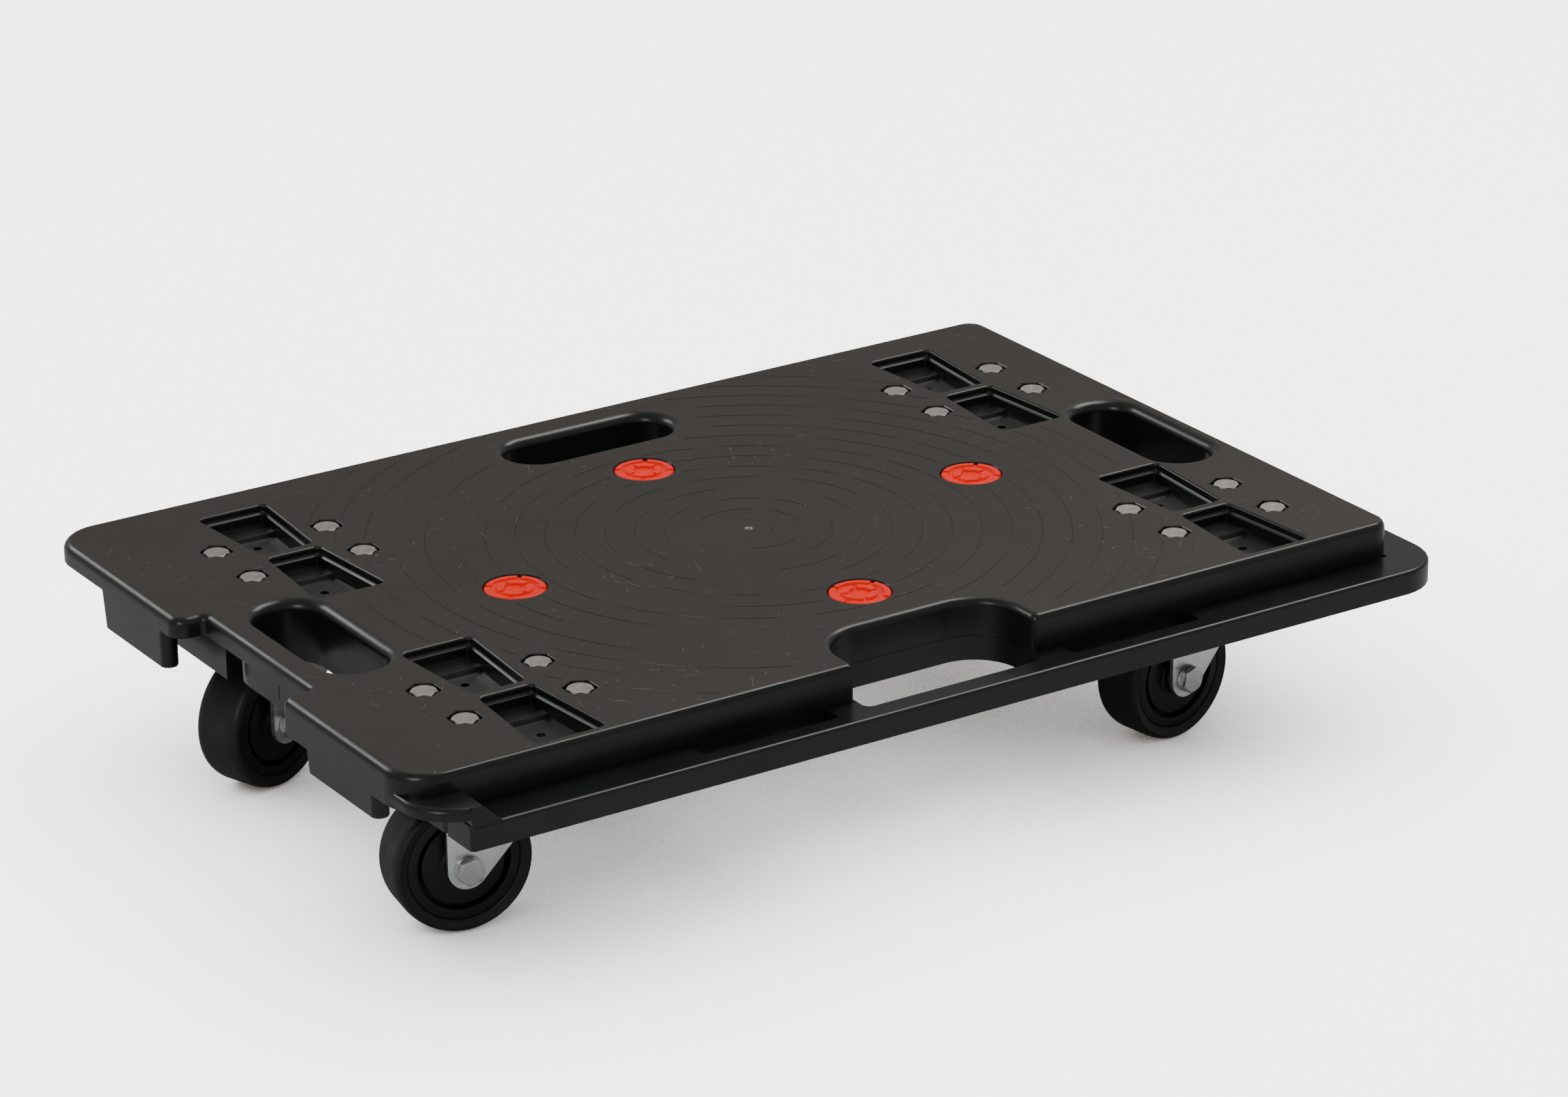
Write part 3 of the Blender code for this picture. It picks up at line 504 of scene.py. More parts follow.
def stadium(x, y, along, margin=0.0):
    halfLong = holes["length"] / 2 + margin
    halfShort = holes["width"] / 2 + margin
    dx, dy = (halfLong, halfShort) if along == "X" else (halfShort, halfLong)
    radius = halfShort - 0.5
    return [(x + sx * dx, y + sy * dy, radius) for sx, sy in ((-1, -1), (1, -1), (1, 1), (-1, 1))]


def gripCorners(margin=0.0):
    half = holes["length"] / 2 + margin
    back = -bodyY + holes["gripDepth"] + margin
    mouth = -bodyY - 0.3
    return [(-half - 40, -halfWidth - 20), (half + 40, -halfWidth - 20), (half + 40, mouth),
            (half, mouth, holes["gripMouth"]), (half, back, holes["gripCorner"] + margin),
            (-half, back, holes["gripCorner"] + margin), (-half, mouth, holes["gripMouth"]),
            (-half - 40, mouth)]


def pocketCorners(x, y, side, margin=0.0):
    near = y + side * (pockets["gap"] - margin)
    far = y + side * (pockets["gap"] + pockets["length"] + margin)
    inner = pockets["inner"] / 2 + margin
    outer = pockets["outer"] / 2 + margin
    corners = [(x - inner, near, 3.5), (x + inner, near, 3.5), (x + outer, far, 4.0), (x - outer, far, 4.0)]
    return corners if side > 0 else corners[::-1]


def castorPlaces():
    return [(sx * castors["x"], sy * castors["y"]) for sx in (-1, 1) for sy in (-1, 1)]


def pocketPlaces():
    return [(x, y, side) for x, y in castorPlaces() for side in (-1, 1)]


def boltPlaces(x, y):
    halfX, halfY = castors["boltX"] / 2, castors["boltY"] / 2
    return [(x + sx * halfX, y + sy * halfY) for sx in (-1, 1) for sy in (-1, 1)]


def deckBoltPlaces():
    return [place for x, y in castorPlaces() for place in boltPlaces(x, y)]


def plugPlaces():
    return {"left": (-plugs["x"], 0.0), "right": (plugs["x"], 0.0),
            "front": (0.0, -plugs["y"]), "back": (0.0, plugs["y"])}


def loadFaceCorners():
    notchX = -halfLength + deck["notchDepth"]
    notchY = deck["notchHalf"]
    return [(-halfLength, -bodyY, deck["frontLipCorner"], deck["frontShare"]),
            (bodyX, -bodyY, deck["bodyCorner"], 0.75),
            (bodyX, halfWidth, deck["bodyCorner"]),
            (-halfLength, halfWidth, deck["lipCorner"]),
            (-halfLength, notchY, 9.0, 0.9), (notchX, notchY, 3.0, 0.9),
            (notchX, -notchY, 3.0, 0.9), (-halfLength, -notchY, 5.5)]


def lugShape(side, start):
    # round towards one end, tapered at the other
    outer = (halfLength if side == "left" else halfWidth) - lugs["setback"]
    inner = outer - lugs["thickness"]
    radius = lugs["thickness"] / 2 - 0.1
    rings = []
    for height, grow in ((deckBottom, -1.0), (deckBottom + 0.3, -0.3), (deckBottom + 1.0, 0.0),
                         (below(deck["skin"]), 0.0)):
        drop = (below(deck["skin"]) - height) / (below(deck["skin"]) - deckBottom)
        end = start + lugs["length"] - lugs["taper"] * drop
        if side == "left":
            corners = [(-outer, start, radius), (-inner, start, radius),
                       (-inner, end, 1.2), (-outer, end, 1.2)]
        else:
            corners = [(start, inner, radius), (end, inner, 1.2), (end, outer, 1.2), (start, outer, radius)]
        rings.append((ringOf(corners, grow, 6), height))
    return loft(rings)


def ledgeShapes():
    x, y = halfLength, halfWidth
    innerX, innerY = bodyX - 2.0, bodyY - 2.0
    outline = [(-bodyX, -y, 3.0), (x, -y, deck["ledgeCorner"]), (x, bodyY, 3.0, 0.0),
               (innerX, bodyY, 0.0, 0.0), (innerX, -innerY, 0.0, 0.0), (-bodyX, -innerY, 0.0, 0.0)]
    return roundedPrism(outline, deckBottom, below(deck["ledge"]), deck["ledgeRound"], 0.6)


def stepShapes():
    # the raised step at the front left corner and the ramp down to the front ledge
    top, low = below(deck["thinLip"]), below(deck["thinLip"] + 6.5)
    x, y, reach = halfLength - 0.3, halfWidth - 0.3, 7.0
    innerY = bodyY - 1.5
    front = [(-x, -bodyY + 24.0), (-x, -y, 28.0),
             (-bodyX + reach, -y, 0.0, 0.0), (-bodyX + reach, -innerY, 0.0, 0.0),
             (-bodyX + 1.0, -bodyY + 24.0, 0.0, 0.0)]
    step = roundedPrism(front, low, top, 3.2, 0.4, 14)
    foot, fall = below(deck["ledge"]), deck["ledge"] - deck["thinLip"]
    start, end = -bodyX + 0.6, -bodyX + reach
    points = ringOf([(start, foot - 1.5), (end + fall + 1.5, foot - 1.5), (end + fall + 0.5, foot, 0.0),
                     (end, top - 0.15, 2.0), (start, top - 0.15)], 0.0, 5)
    ramp = loft([(points, 0.0), (points, y - 0.4 - innerY)])
    for vert in ramp.verts:
        vert.co = (vert.co.x, vert.co.z + (0.4 - y) * mm, vert.co.y)
    bmesh.ops.recalc_face_normals(ramp, faces=ramp.faces)
    return step, ramp


def slotCutters():
    made = []
    low, high = deckBottom - 2.0, below(deck["ledge"] - 1.0)
    for start in (lugs["start"], -lugs["start"] - lugs["length"]):
        first, last = start - lugs["slotRoom"], start + lugs["length"] + lugs["slotRoom"]
        x, y = bodyX + lugs["slotWidth"], -bodyY - lugs["slotWidth"]
        front = [(first, y, 3.0), (last, y, 3.0), (last, -bodyY - 0.6), (first, -bodyY - 0.6)]
        right = [(bodyX + 0.6, first), (x, first, 3.0), (x, last, 3.0), (bodyX + 0.6, last)]
        made += [roundedPrism(front, low, high), roundedPrism(right, low, high)]
    return made


def underCavity():
    # the hollow below the load face, with walls left round holes, pockets, seats and sockets
    inset = deck["skirtInset"] + deck["wall"]
    x, y = bodyX - inset, bodyY - inset
    floor = deckBottom - 2.0
    corners = [(-x, -y, 4.0), (x, -y, 9.0), (x, y, 4.0), (-x, y, 4.0)]
    cavity = objectFrom("cavity", roundedPrism(corners, floor, below(deck["skin"]), 1.5))
    wall = deck["wall"]
    roof = deckTop + 1.0
    tubs = [roundedPrism(stadium(hx, hy, along, wall), floor - 1.0, roof) for hx, hy, along in handHoles()]
    tubs.append(roundedPrism(gripCorners(wall), floor - 1.0, roof))
    tubs += [roundBar(px, py, plugs["radius"] + 0.4 + wall, below(plugs["socket"] + wall), roof, 40)
             for px, py in plugPlaces().values()]
    cut(cavity, tubs)
    for side in (-1, 1):
        cut(cavity, [roundedPrism(pocketCorners(cx, cy, side, wall), below(pockets["depth"] + wall), roof,
                                      0.0, 1.0) for cx, cy in castorPlaces()])
    seatX = castors["plateLength"] / 2 + castors["seatMargin"]
    seatY = castors["plateWidth"] / 2 + castors["seatMargin"]
    cut(cavity, [boxShape((cx - seatX, cy - seatY, below(deck["seatDrop"])), (cx + seatX, cy + seatY, roof))
                     for cx, cy in castorPlaces()])
    bays = [(cx, cy, seatX + 0.6, seatY + 0.6) for cx, cy in castorPlaces()]
    ribs = []
    for ribX in (-castors["x"] + seatX + 2 * wall, -50.0, 50.0, castors["x"] - seatX - 2 * wall):
        ribs.append(boxShape((ribX - 1.2, -bodyY, below(deck["ribDrop"])), (ribX + 1.2, bodyY, roof)))
    cut(cavity, ribs)
    ribs = []
    for ribY in (-plugs["y"] - 30.0, -plugs["y"] + 45.0, 0.0, plugs["y"] - 45.0, plugs["y"] + 30.0):
        stop = castors["x"] - seatX - 1.0 if abs(ribY) > 1.0 else bodyX
        ribs.append(boxShape((-stop, ribY - 1.2, below(deck["ribDrop"] - 0.5)), (stop, ribY + 1.2, roof)))
    cut(cavity, ribs)
    return cavity, bays


def sideHollows():
    # hollows moulded into lips and ledges from below
    floor, wall = deckBottom - 2.0, deck["wall"]
    lugEnd = lugs["start"] + lugs["length"] + wall
    slotEnd = lugs["start"] + lugs["length"] + lugs["slotRoom"] + wall
    slotStart = lugs["start"] - lugs["slotRoom"] - wall
    holeEnd = holes["length"] / 2 + 2 * wall
    roof, ledgeRoof = below(deck["skin"] + 2.0), below(deck["ledge"] + deck["skin"])
    x, y = halfLength - wall, halfWidth - wall
    boxes = [((-x, -bodyY + 24, floor), (-bodyX - 2, -lugEnd, roof)),
             ((-bodyX + 26, bodyY + 2, floor), (-lugEnd, y, roof)),
             ((-lugs["start"] + wall, bodyY + 2, floor), (-holeEnd, y, roof)),
             ((holeEnd, bodyY + 2, floor), (lugs["start"] - wall, y, roof)),
             ((lugEnd, bodyY + 2, floor), (bodyX - 12, y, roof)),
             ((-bodyX + wall, -y, floor), (-slotEnd, -bodyY - 1, ledgeRoof)),
             ((slotEnd, -y, floor), (halfLength - deck["ledgeCorner"], -bodyY - 1, ledgeRoof)),
             ((bodyX + 1, -halfWidth + deck["ledgeCorner"], floor), (x, -slotEnd, ledgeRoof)),
             ((bodyX + 1, -slotStart, floor), (x, slotStart, ledgeRoof)),
             ((bodyX + 1, slotEnd, floor), (x, bodyY - wall, ledgeRoof))]
    return [boxShape(low, high) for low, high in boxes]


def pocketCutter(x, y, side):
    corners = pocketCorners(x, y, side)
    shelf, width = pockets["shelf"], pockets["shelfWidth"]
    levels = [(pockets["depth"], -width - 1.8), (pockets["depth"] - 0.4, -width - 1.0),
              (pockets["depth"] - 1.3, -width - 0.6), (shelf + 1.2, -width), (shelf + 0.4, -width + 0.2),
              (shelf - 0.1, -width + 0.8), (shelf - 0.6, -0.9), (shelf - 1.2, -0.5)]
    for turn in range(6):
        angle = math.radians(80) * turn / 5
        levels.append((pockets["rim"] * (1 - math.sin(angle)), pockets["rim"] * (1 - math.cos(angle)) - 0.4))
    rings = [(ringOf(corners, grow, 5), below(drop)) for drop, grow in levels]
    rings.append((rings[-1][0], deckTop + 1.0))
    made = loft(rings)
    bmesh.ops.recalc_face_normals(made, faces=made.faces)
    return made


def pocketStep(x, y, side):
    # the raised back part of a pocket's floor, its front face slanted
    corners = pocketCorners(x, y, side)
    backY = max(corner[1] for corner in corners) - pockets["shelfWidth"] + 0.8
    frontY = max(corner[1] for corner in corners) - pockets["stepFrom"]
    half = (pockets["inner"] if side < 0 else pockets["outer"]) / 2 - 1.0
    low, high = below(pockets["depth"] + 1.0), below(pockets["depth"] - pockets["stepHeight"])
    rings = [(ringOf([(x - half, front), (x + half, front), (x + half, backY), (x - half, backY)]), height)
             for front, height in ((frontY - 0.9, low), (frontY - 0.6, high - pockets["stepHeight"]),
                                   (frontY + 0.5, high - 0.35), (frontY + 0.9, high))]
    return loft(rings)


def gripArcs():
    # thin broken arcs moulded round the deck's centre, kept clear of every hole
    arcs = {"spacing": 16.2, "first": 13.0, "count": 15, "halfWidth": 0.32, "height": 0.18, "missing": 0.12}
    keepClear = [(px, py, plugs["radius"] + 2.5) for px, py in plugPlaces().values()]
    keepClear += [(bx, by, 10.0) for cx, cy in castorPlaces() for bx, by in boltPlaces(cx, cy)]
    boxes = [(cx - 24, cx + 24, cy - 71, cy + 71) for cx, cy in castorPlaces()]
    for hx, hy, along in handHoles():
        dx, dy = (65, 32) if along == "X" else (32, 65)
        boxes.append((hx - dx, hx + dx, hy - dy, hy + dy))
    boxes.append((-63, 63, -bodyY - 5, -bodyY + holes["gripDepth"] + 7))

    def clear(x, y):
        if abs(x) > bodyX - 8 or not -bodyY + 6 < y < halfWidth - 9:
            return False
        if any(math.hypot(x - px, y - py) < radius for px, py, radius in keepClear):
            return False
        return not any(x0 < x < x1 and y0 < y < y1 for x0, x1, y0, y1 in boxes)

    chance = random.Random(7)
    made = bmesh.new()
    for number in range(arcs["count"]):
        radius = arcs["first"] + arcs["spacing"] * number
        pieces = 4 if number < 3 else 8
        for piece in range(pieces):
            sweep = 2 * math.pi / pieces
            gap = (3.0 + 9.0 * chance.random()) / radius
            if chance.random() < arcs["missing"]:
                continue
            start = sweep * (piece + 0.5 * (number % 2)) + gap
            end = start + sweep - 2 * gap
            count = max(6, int((end - start) * radius / 3.0))
            run = []
            for step in range(count + 1):
                angle = start + (end - start) * step / count
                if clear(radius * math.cos(angle), radius * math.sin(angle)):
                    run.append(angle)
                if run and (step == count or len(run) and run[-1] != angle):
                    if len(run) > 3:
                        addRidge(made, radius, run, arcs)
                    run = []
    centre = {"halfWidth": 0.7, "height": 0.18}
    addRidge(made, 2.2, [2 * math.pi * step / 24 for step in range(25)], centre)      # the mark in the middle
    bmesh.ops.recalc_face_normals(made, faces=made.faces)
    return made


def addRidge(made, radius, angles, arcs):
    loops = []
    for index, angle in enumerate(angles):
        fade = 0.15 if index in (0, len(angles) - 1) else 1.0
        loop = []
        top = arcs["height"] * fade
        for across, rise in ((-1, -0.25), (1, -0.25), (0.25, top), (-0.25, top)):
            reach = (radius + across * arcs["halfWidth"]) * mm
            height = (deckTop + rise) * mm
            loop.append(made.verts.new((reach * math.cos(angle), reach * math.sin(angle), height)))
        loops.append(loop)
    for first, second in zip(loops, loops[1:]):
        for index in range(4):
            after = (index + 1) % 4
            made.faces.new((first[index], first[after], second[after], second[index]))
    made.faces.new(loops[0])
    made.faces.new(loops[-1][::-1])


def makeDeck():
    piece = objectFrom("deckShell", roundedPrism(loadFaceCorners(), below(deck["thickLip"]), deckTop,
                                                 deck["topRound"], 0.8, 12, 6), finishes["deck"])
    thin = [(-halfLength - 15, -deck["notchHalf"] - 0.4), (-bodyX, -deck["notchHalf"] - 0.4), (-bodyX, bodyY),
            (0.0, bodyY), (0.0, halfWidth + 15), (-halfLength - 15, halfWidth + 15)]
    cut(piece, roundedPrism(thin, below(deck["thickLip"] + 5), below(deck["thinLip"])))
    inset = deck["skirtInset"]
    skirt = [(-bodyX, -bodyY + inset, 8.0), (bodyX - inset, -bodyY + inset, 11.0),
             (bodyX - inset, bodyY - 0.2, 4.0), (-bodyX, bodyY - 0.2, 4.0)]
    fuse(piece, roundedPrism(skirt, deckBottom, below(8.0), 0.0, 0.5))
    fuse(piece, ledgeShapes())
    for shape in stepShapes():
        fuse(piece, shape)
    fuse(piece, [lugShape(side, start) for side in ("left", "back")
                    for start in (lugs["start"], -lugs["start"] - lugs["length"])])
    print("deck block joined")
    cavity, bays = underCavity()
    cut(piece, cavity)
    low = deckBottom - 3.0
    cut(piece, [boxShape((cx - sx, cy - sy, low), (cx + sx, cy + sy, below(deck["seatDrop"] + 0.1)))
                    for cx, cy, sx, sy in bays])
    cut(piece, sideHollows())
    stop = deck["underWallStop"]
    tubSide = bodyX - holes["insetX"] + deck["wall"]
    cut(piece, boxShape((-bodyX - 4.0, -stop, low), (-tubSide - 0.2, stop, below(deck["thinLip"] + 0.2))))
    print("deck hollowed")
    cut(piece, [flaredCutter(stadium(hx, hy, along, -holes["wallInset"]), low, holes["rim"], 14)
                for hx, hy, along in handHoles()])
    cut(piece, [pocketCutter(*place) for place in pocketPlaces()])
    fuse(piece, [pocketStep(*place) for place in pocketPlaces()])
    cuts = []
    hexRadius = castors["headRecessAcross"] / math.sqrt(3)
    rings = ((castors["headRecess"], 0.0), (0.5, 0.0), (0.0, 0.5), (-1.0, 0.5))
    for bx, by in deckBoltPlaces():
        cuts.append(loft([(circleOf(bx, by, hexRadius + grow, 6, math.pi / 6), below(drop))
                          for drop, grow in rings]))
    cuts += [loft([(circleOf(px, py, plugs["radius"] + 0.5 + grow, 64), below(drop))
                   for drop, grow in ((plugs["socket"], 0.0), (0.6, 0.0), (0.0, 0.45), (-1.0, 0.45))])
             for px, py in plugPlaces().values()]
    cut(piece, cuts)
    cut(piece, flaredCutter(gripCorners(), below(deck["ledge"] - 0.2), holes["gripRim"], 12))
    half, back = holes["length"] / 2 - 0.3, -bodyY + holes["gripDepth"] - 0.3
    opening = [(-half, -halfWidth + holes["gripBar"], 5.0), (half, -halfWidth + holes["gripBar"], 5.0),
               (half, back, holes["gripCorner"]), (-half, back, holes["gripCorner"])]
    cut(piece, roundedPrism(opening, low, below(deck["ledge"] - 1.2), 0.0, 0.0, 12))
    through = [roundBar(bx, by, castors["boltRadius"] + 0.4, below(deck["seatDrop"] + 3), below(4.0))
               for bx, by in deckBoltPlaces()]
    through += [roundBar(cx, cy + side * pockets["drainPlace"], pockets["drain"], low, below(4.0), 20)
                for cx, cy, side in pocketPlaces()]
    cut(piece, through)
    cut(piece, slotCutters())
    print("deck cut", len(piece.data.polygons), "faces")
    smooth(piece)
    arcs = objectFrom("arcs", gripArcs(), finishes["deck"])
    joinInto(piece, arcs)
    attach(piece, "deck_frame")
    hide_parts("deck")
    return piece


makeDeck()


def makePlugs():
    plug = {"edge": 1.0, "rim": 3.6, "ringOuter": 9.8, "ringInner": 6.0, "sunk": 1.5, "stem": 13.0,
            "length": 9.3}
    top, radius = deckTop - 0.2, plugs["radius"]
    edge = [(radius - plug["edge"] * (1 - math.cos(a)), top - plug["edge"] * (1 - math.sin(a)))
            for a in [math.pi / 2 * step / 5 for step in range(6)]]
    profile = ([(0.0, top - plug["length"]), (plug["stem"], top - plug["length"]), (plug["stem"], top - 2.8),
                (radius, top - 2.8)] + edge + [(0.0, top)])
    shape = objectFrom("plug", turned(profile, 64), finishes["cap"])
    sunk = top - plug["sunk"]
    innerRim = radius - plug["rim"]
    groove = turned([(plug["ringOuter"], sunk), (innerRim - 0.4, sunk), (innerRim, sunk + 0.4),
                     (innerRim, top + 1), (plug["ringOuter"], top + 1)], 64, True)
    cut(shape, groove)
    cut(shape, turned([(0.0, sunk + 0.2), (plug["ringInner"], sunk + 0.2), (plug["ringInner"], top + 1),
                           (0.0, top + 1)], 48))
    innerRing = (plug["ringOuter"] + plug["ringInner"]) / 2
    cross = []
    for step in range(4):
        turn = math.radians(45 + 90 * step)
        for reach, length, wide, extra in ((radius, 4.6, 2.6, 0.0), (innerRing, 5.0, 2.2, 0.785)):
            bar = boxShape((reach - length, -wide / 2, sunk + 0.1), (reach + length, wide / 2, top + 2))
            spin = Matrix.Rotation(turn + extra, 3, "Z")
            bmesh.ops.rotate(bar, verts=bar.verts, cent=(0, 0, 0), matrix=spin)
            cross.append(bar)
    cut(shape, cross[::2])
    cut(shape, cross[1::2])
    smooth(shape)
    for side, (x, y) in plugPlaces().items():
        piece = shape.copy()
        piece.name = "plug_" + side
        bpy.context.scene.collection.objects.link(piece)
        piece.location = (x * mm, y * mm, 0.0)
        piece.rotation_euler.z = {"left": 0.1, "right": 0.0, "front": -0.25, "back": 0.2}[side]
        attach(piece, "deck_frame")
        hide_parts("cap_" + side)
    bpy.data.objects.remove(shape, do_unlink=True)
    print("plugs made")


makePlugs()


wheel = {
    "radius": 37.5,
    "halfWidth": 14.4,
    "treadFlat": 7.7,
    "shoulder": 35.2,
    "core": 30.5,
    "coreHalf": 12.6,
    "grooveOuter": 25.0,
    "grooveInner": 22.5,
    "grooveDepth": 6.0,
    "hub": 10.5,
    "hubHalf": 15.4,
    "sleeve": 6.5,
}
fork = {
    "trail": 28.0,
    "inside": 16.5,
    "sheet": 2.5,
    "bend": 4.5,               # outer radius where the legs turn into the crown
    "rake": 48.0,
    "foot": 11.0,
    "front": 22.0,
    "rear": 22.0,
    "hole": 4.4,
}
bolt = {
    "radius": 4.0,
    "across": 13.0,
    "headHeight": 5.3,
    "nutHeight": 6.5,
    "tip": 1.5,
    "washer": 7.6,
    "washerThickness": 1.3,
}
gap = 0.3
seatTop = below(deck["seatDrop"])
plateTop = seatTop - gap
plateBottom = plateTop - castors["plateThickness"]
crownTop = plateBottom - 5.6
crownBottom = crownTop - fork["sheet"]
forkHalf = fork["inside"] + fork["sheet"]


def hexPrism(across, low, high, chamferLow=False, chamferHigh=False, turn=0.0, face=0.95, steep=0.55):
    # hexagon bar with the corners of its ends turned off
    radius = across / math.sqrt(3)
    hexagon = circleOf(0, 0, radius, 6, turn)
    made = objectFrom("hex", loft([(hexagon, low), (hexagon, high)]))
    inner, wide = across / 2 * face, radius + 0.3
    slope = (radius - inner) * steep
    profile = [(0.0, low - 0.01)]
    profile += [(inner, low - 0.01), (wide, low + slope)] if chamferLow else [(wide, low - 0.01)]
    profile += [(wide, high - slope), (inner, high + 0.01)] if chamferHigh else [(wide, high + 0.01)]
    profile.append((0.0, high + 0.01))
    combine(made, turned(profile, 48), "INTERSECT")
    shape = bmesh.new()
    shape.from_mesh(made.data)
    bpy.data.objects.remove(made, do_unlink=True)
    return shape


def threadedTip(low, high):
    # fine thread grooves on the visible end of a bolt
    radius, pitch = bolt["radius"], 1.25
    profile = [(0.0, low), (radius - 0.9, low)]
    height = low + 0.5
    while height < high - pitch:
        profile += [(radius, height), (radius - 0.55, height + pitch / 2)]
        height += pitch
    profile += [(radius, height), (radius, high), (0.0, high)]
    return turned(profile, 32)


def makeTyre():
    steps = 8
    near = [(wheel["core"], 11.8), (wheel["core"] + 0.1, 12.6), (wheel["core"] + 0.5, 12.95),
            (wheel["core"] + 1.2, 13.05), (34.4, 14.05), (34.7, 14.35), (34.95, 14.4)]
    for step in range(steps + 1):
        angle = math.pi / 2 * step / steps
        near.append((wheel["shoulder"] + (wheel["radius"] - wheel["shoulder"]) * math.sin(angle),
                     wheel["treadFlat"] + (14.1 - wheel["treadFlat"]) * math.cos(angle)))
    profile = [(radius, -height) for radius, height in near] + near[::-1]
    return objectFrom("tyre", laidOver(turned(profile, 96, True)), finishes["tyre"])


def makeCore():
    disc, floor = wheel["coreHalf"] - 1.0, wheel["coreHalf"] - wheel["grooveDepth"]
    near = [(wheel["sleeve"] + 0.5, wheel["hubHalf"]), (wheel["hub"] - 0.5, wheel["hubHalf"]),
            (wheel["hub"], wheel["hubHalf"] - 0.5), (wheel["hub"] + 0.3, disc + 0.8),
            (wheel["hub"] + 1.2, disc + 0.15), (wheel["hub"] + 2.4, disc),
            (wheel["grooveInner"] - 0.8, disc), (wheel["grooveInner"] - 0.2, disc - 0.25),
            (wheel["grooveInner"], disc - 0.8), (wheel["grooveInner"], floor), (wheel["grooveOuter"], floor),
            (wheel["grooveOuter"], wheel["coreHalf"] - 0.6),
            (wheel["grooveOuter"] + 0.25, wheel["coreHalf"] - 0.15),
            (wheel["grooveOuter"] + 0.8, wheel["coreHalf"]), (wheel["core"] - 1.0, wheel["coreHalf"]),
            (wheel["core"] - 0.35, wheel["coreHalf"] - 0.25), (wheel["core"] - 0.15, wheel["coreHalf"] - 0.9)]
    profile = [(radius, -height) for radius, height in near] + near[::-1]
    return objectFrom("core", laidOver(turned(profile, 96, True)), finishes["core"])


def makeSleeve():
    end = fork["inside"] - gap
    profile = [(fork["hole"], -end), (wheel["sleeve"] - 0.4, -end), (wheel["sleeve"], -end + 0.4),
               (wheel["sleeve"], end - 0.4), (wheel["sleeve"] - 0.4, end), (fork["hole"], end)]
    return objectFrom("sleeve", laidOver(turned(profile, 40, True)), finishes["bolt"])


def sideOutline():
    # side view of the fork: crown at the top, legs raked back to the axle
    lean = math.radians(fork["rake"])
    turns = [math.pi + (math.pi / 2 + lean) * step / 16 for step in range(17)]
    foot = [(-fork["trail"] + fork["foot"] * math.cos(t), wheel["radius"] + fork["foot"] * math.sin(t))
            for t in turns]
    toeX, toeZ = foot[-1]
    front = (fork["front"], toeZ + (fork["front"] - toeX) * math.tan(lean), 1.5)
    heel = -fork["trail"] - fork["foot"]
    shoulder = crownBottom - 1.5
    corners = [front, (fork["front"], crownTop, 3.0),
               (-fork["rear"], crownTop, 3.0), (-fork["rear"], shoulder, 3.0),
               (heel, shoulder - (fork["trail"] + fork["foot"] - fork["rear"]) * 0.8, 6.0)]
    return [Vector(p) for p in foot], corners


def makeFork():
    foot, corners = sideOutline()
    outline = [(p.x, p.y) for p in foot] + corners
    points = ringOf(outline, 0.0, 5)
    wide = forkHalf + 2.0
    side = loft([(points, -wide), (points, wide)])
    piece = objectFrom("fork", laidOver(side), finishes["fork"])
    outer = [(-forkHalf, 0.0), (forkHalf, 0.0),
             (forkHalf, crownTop, fork["bend"]), (-forkHalf, crownTop, fork["bend"])]
    inner = [(-fork["inside"], -1.0), (fork["inside"], -1.0), (fork["inside"], crownBottom, 2.2),
             (-fork["inside"], crownBottom, 2.2)]
    section = []
    for shape, reach in ((outer, 70.0), (inner, 80.0)):
        ring = ringOf(shape, 0.0, 6)
        made = loft([(ring, -reach), (ring, reach)])
        for vert in made.verts:
            vert.co = (vert.co.z, vert.co.x, vert.co.y)
        section.append(made)
    combine(piece, section[0], "INTERSECT")
    cut(piece, section[1])
    axleHole = roundBar(0, 0, fork["hole"], -wide - 1, wide + 1)
    laidOver(axleHole)
    bmesh.ops.translate(axleHole, verts=axleHole.verts, vec=(-fork["trail"] * mm, 0, wheel["radius"] * mm))
    cut(piece, [axleHole, roundBar(0, 0, 6.1, crownBottom - 1, crownTop + 1)])
    soften(piece, 0.45)
    return piece


def soften(piece, width):
    bevel = piece.modifiers.new("soft edges", "BEVEL")
    bevel.width = width * mm
    bevel.segments = 2
    bevel.limit_method = "ANGLE"
    bevel.angle_limit = math.radians(50)
    bevel.use_clamp_overlap = True


def makePlate():
    x, y = castors["plateLength"] / 2, castors["plateWidth"] / 2
    corners = [(-x, -y, 6.0), (x, -y, 6.0), (x, y, 6.0), (-x, y, 6.0)]
    sheet = roundedPrism(corners, plateBottom, plateTop, 0.5, 0.5, 8, 2)
    piece = objectFrom("plate", sheet, finishes["fork"])
    cuts = [roundBar(0, 0, 5.8, plateBottom - 1, plateTop + 1)]
    cuts += [roundBar(bx, by, bolt["radius"] + 0.4, plateBottom - 1, plateTop + 1)
             for bx, by in boltPlaces(0, 0)]
    return cut(piece, cuts)


def makeRace():
    low, high = crownTop + gap, plateBottom - gap
    middle = (low + high) / 2
    profile = [(9.0, low), (18.6, low), (19.6, low + 0.4), (20.4, middle - 0.5), (20.4, middle - 0.1),
               (21.8, middle + 0.2), (22.0, middle + 0.6), (22.0, high - 0.4), (21.6, high), (9.0, high)]
    return objectFrom("race", turned(profile, 64, True), finishes["fork"])


def makeKingPin():
    top = crownBottom - gap
    low = top - 3.6
    profile = [(0.0, low), (6.6, low), (8.0, low + 0.5), (8.9, low + 1.5), (9.0, top - 0.3), (8.7, top),
               (5.5, top), (5.5, plateTop - 0.4), (5.1, plateTop), (0.0, plateTop)]
    return objectFrom("kingPin", turned(profile, 40), finishes["bolt"])


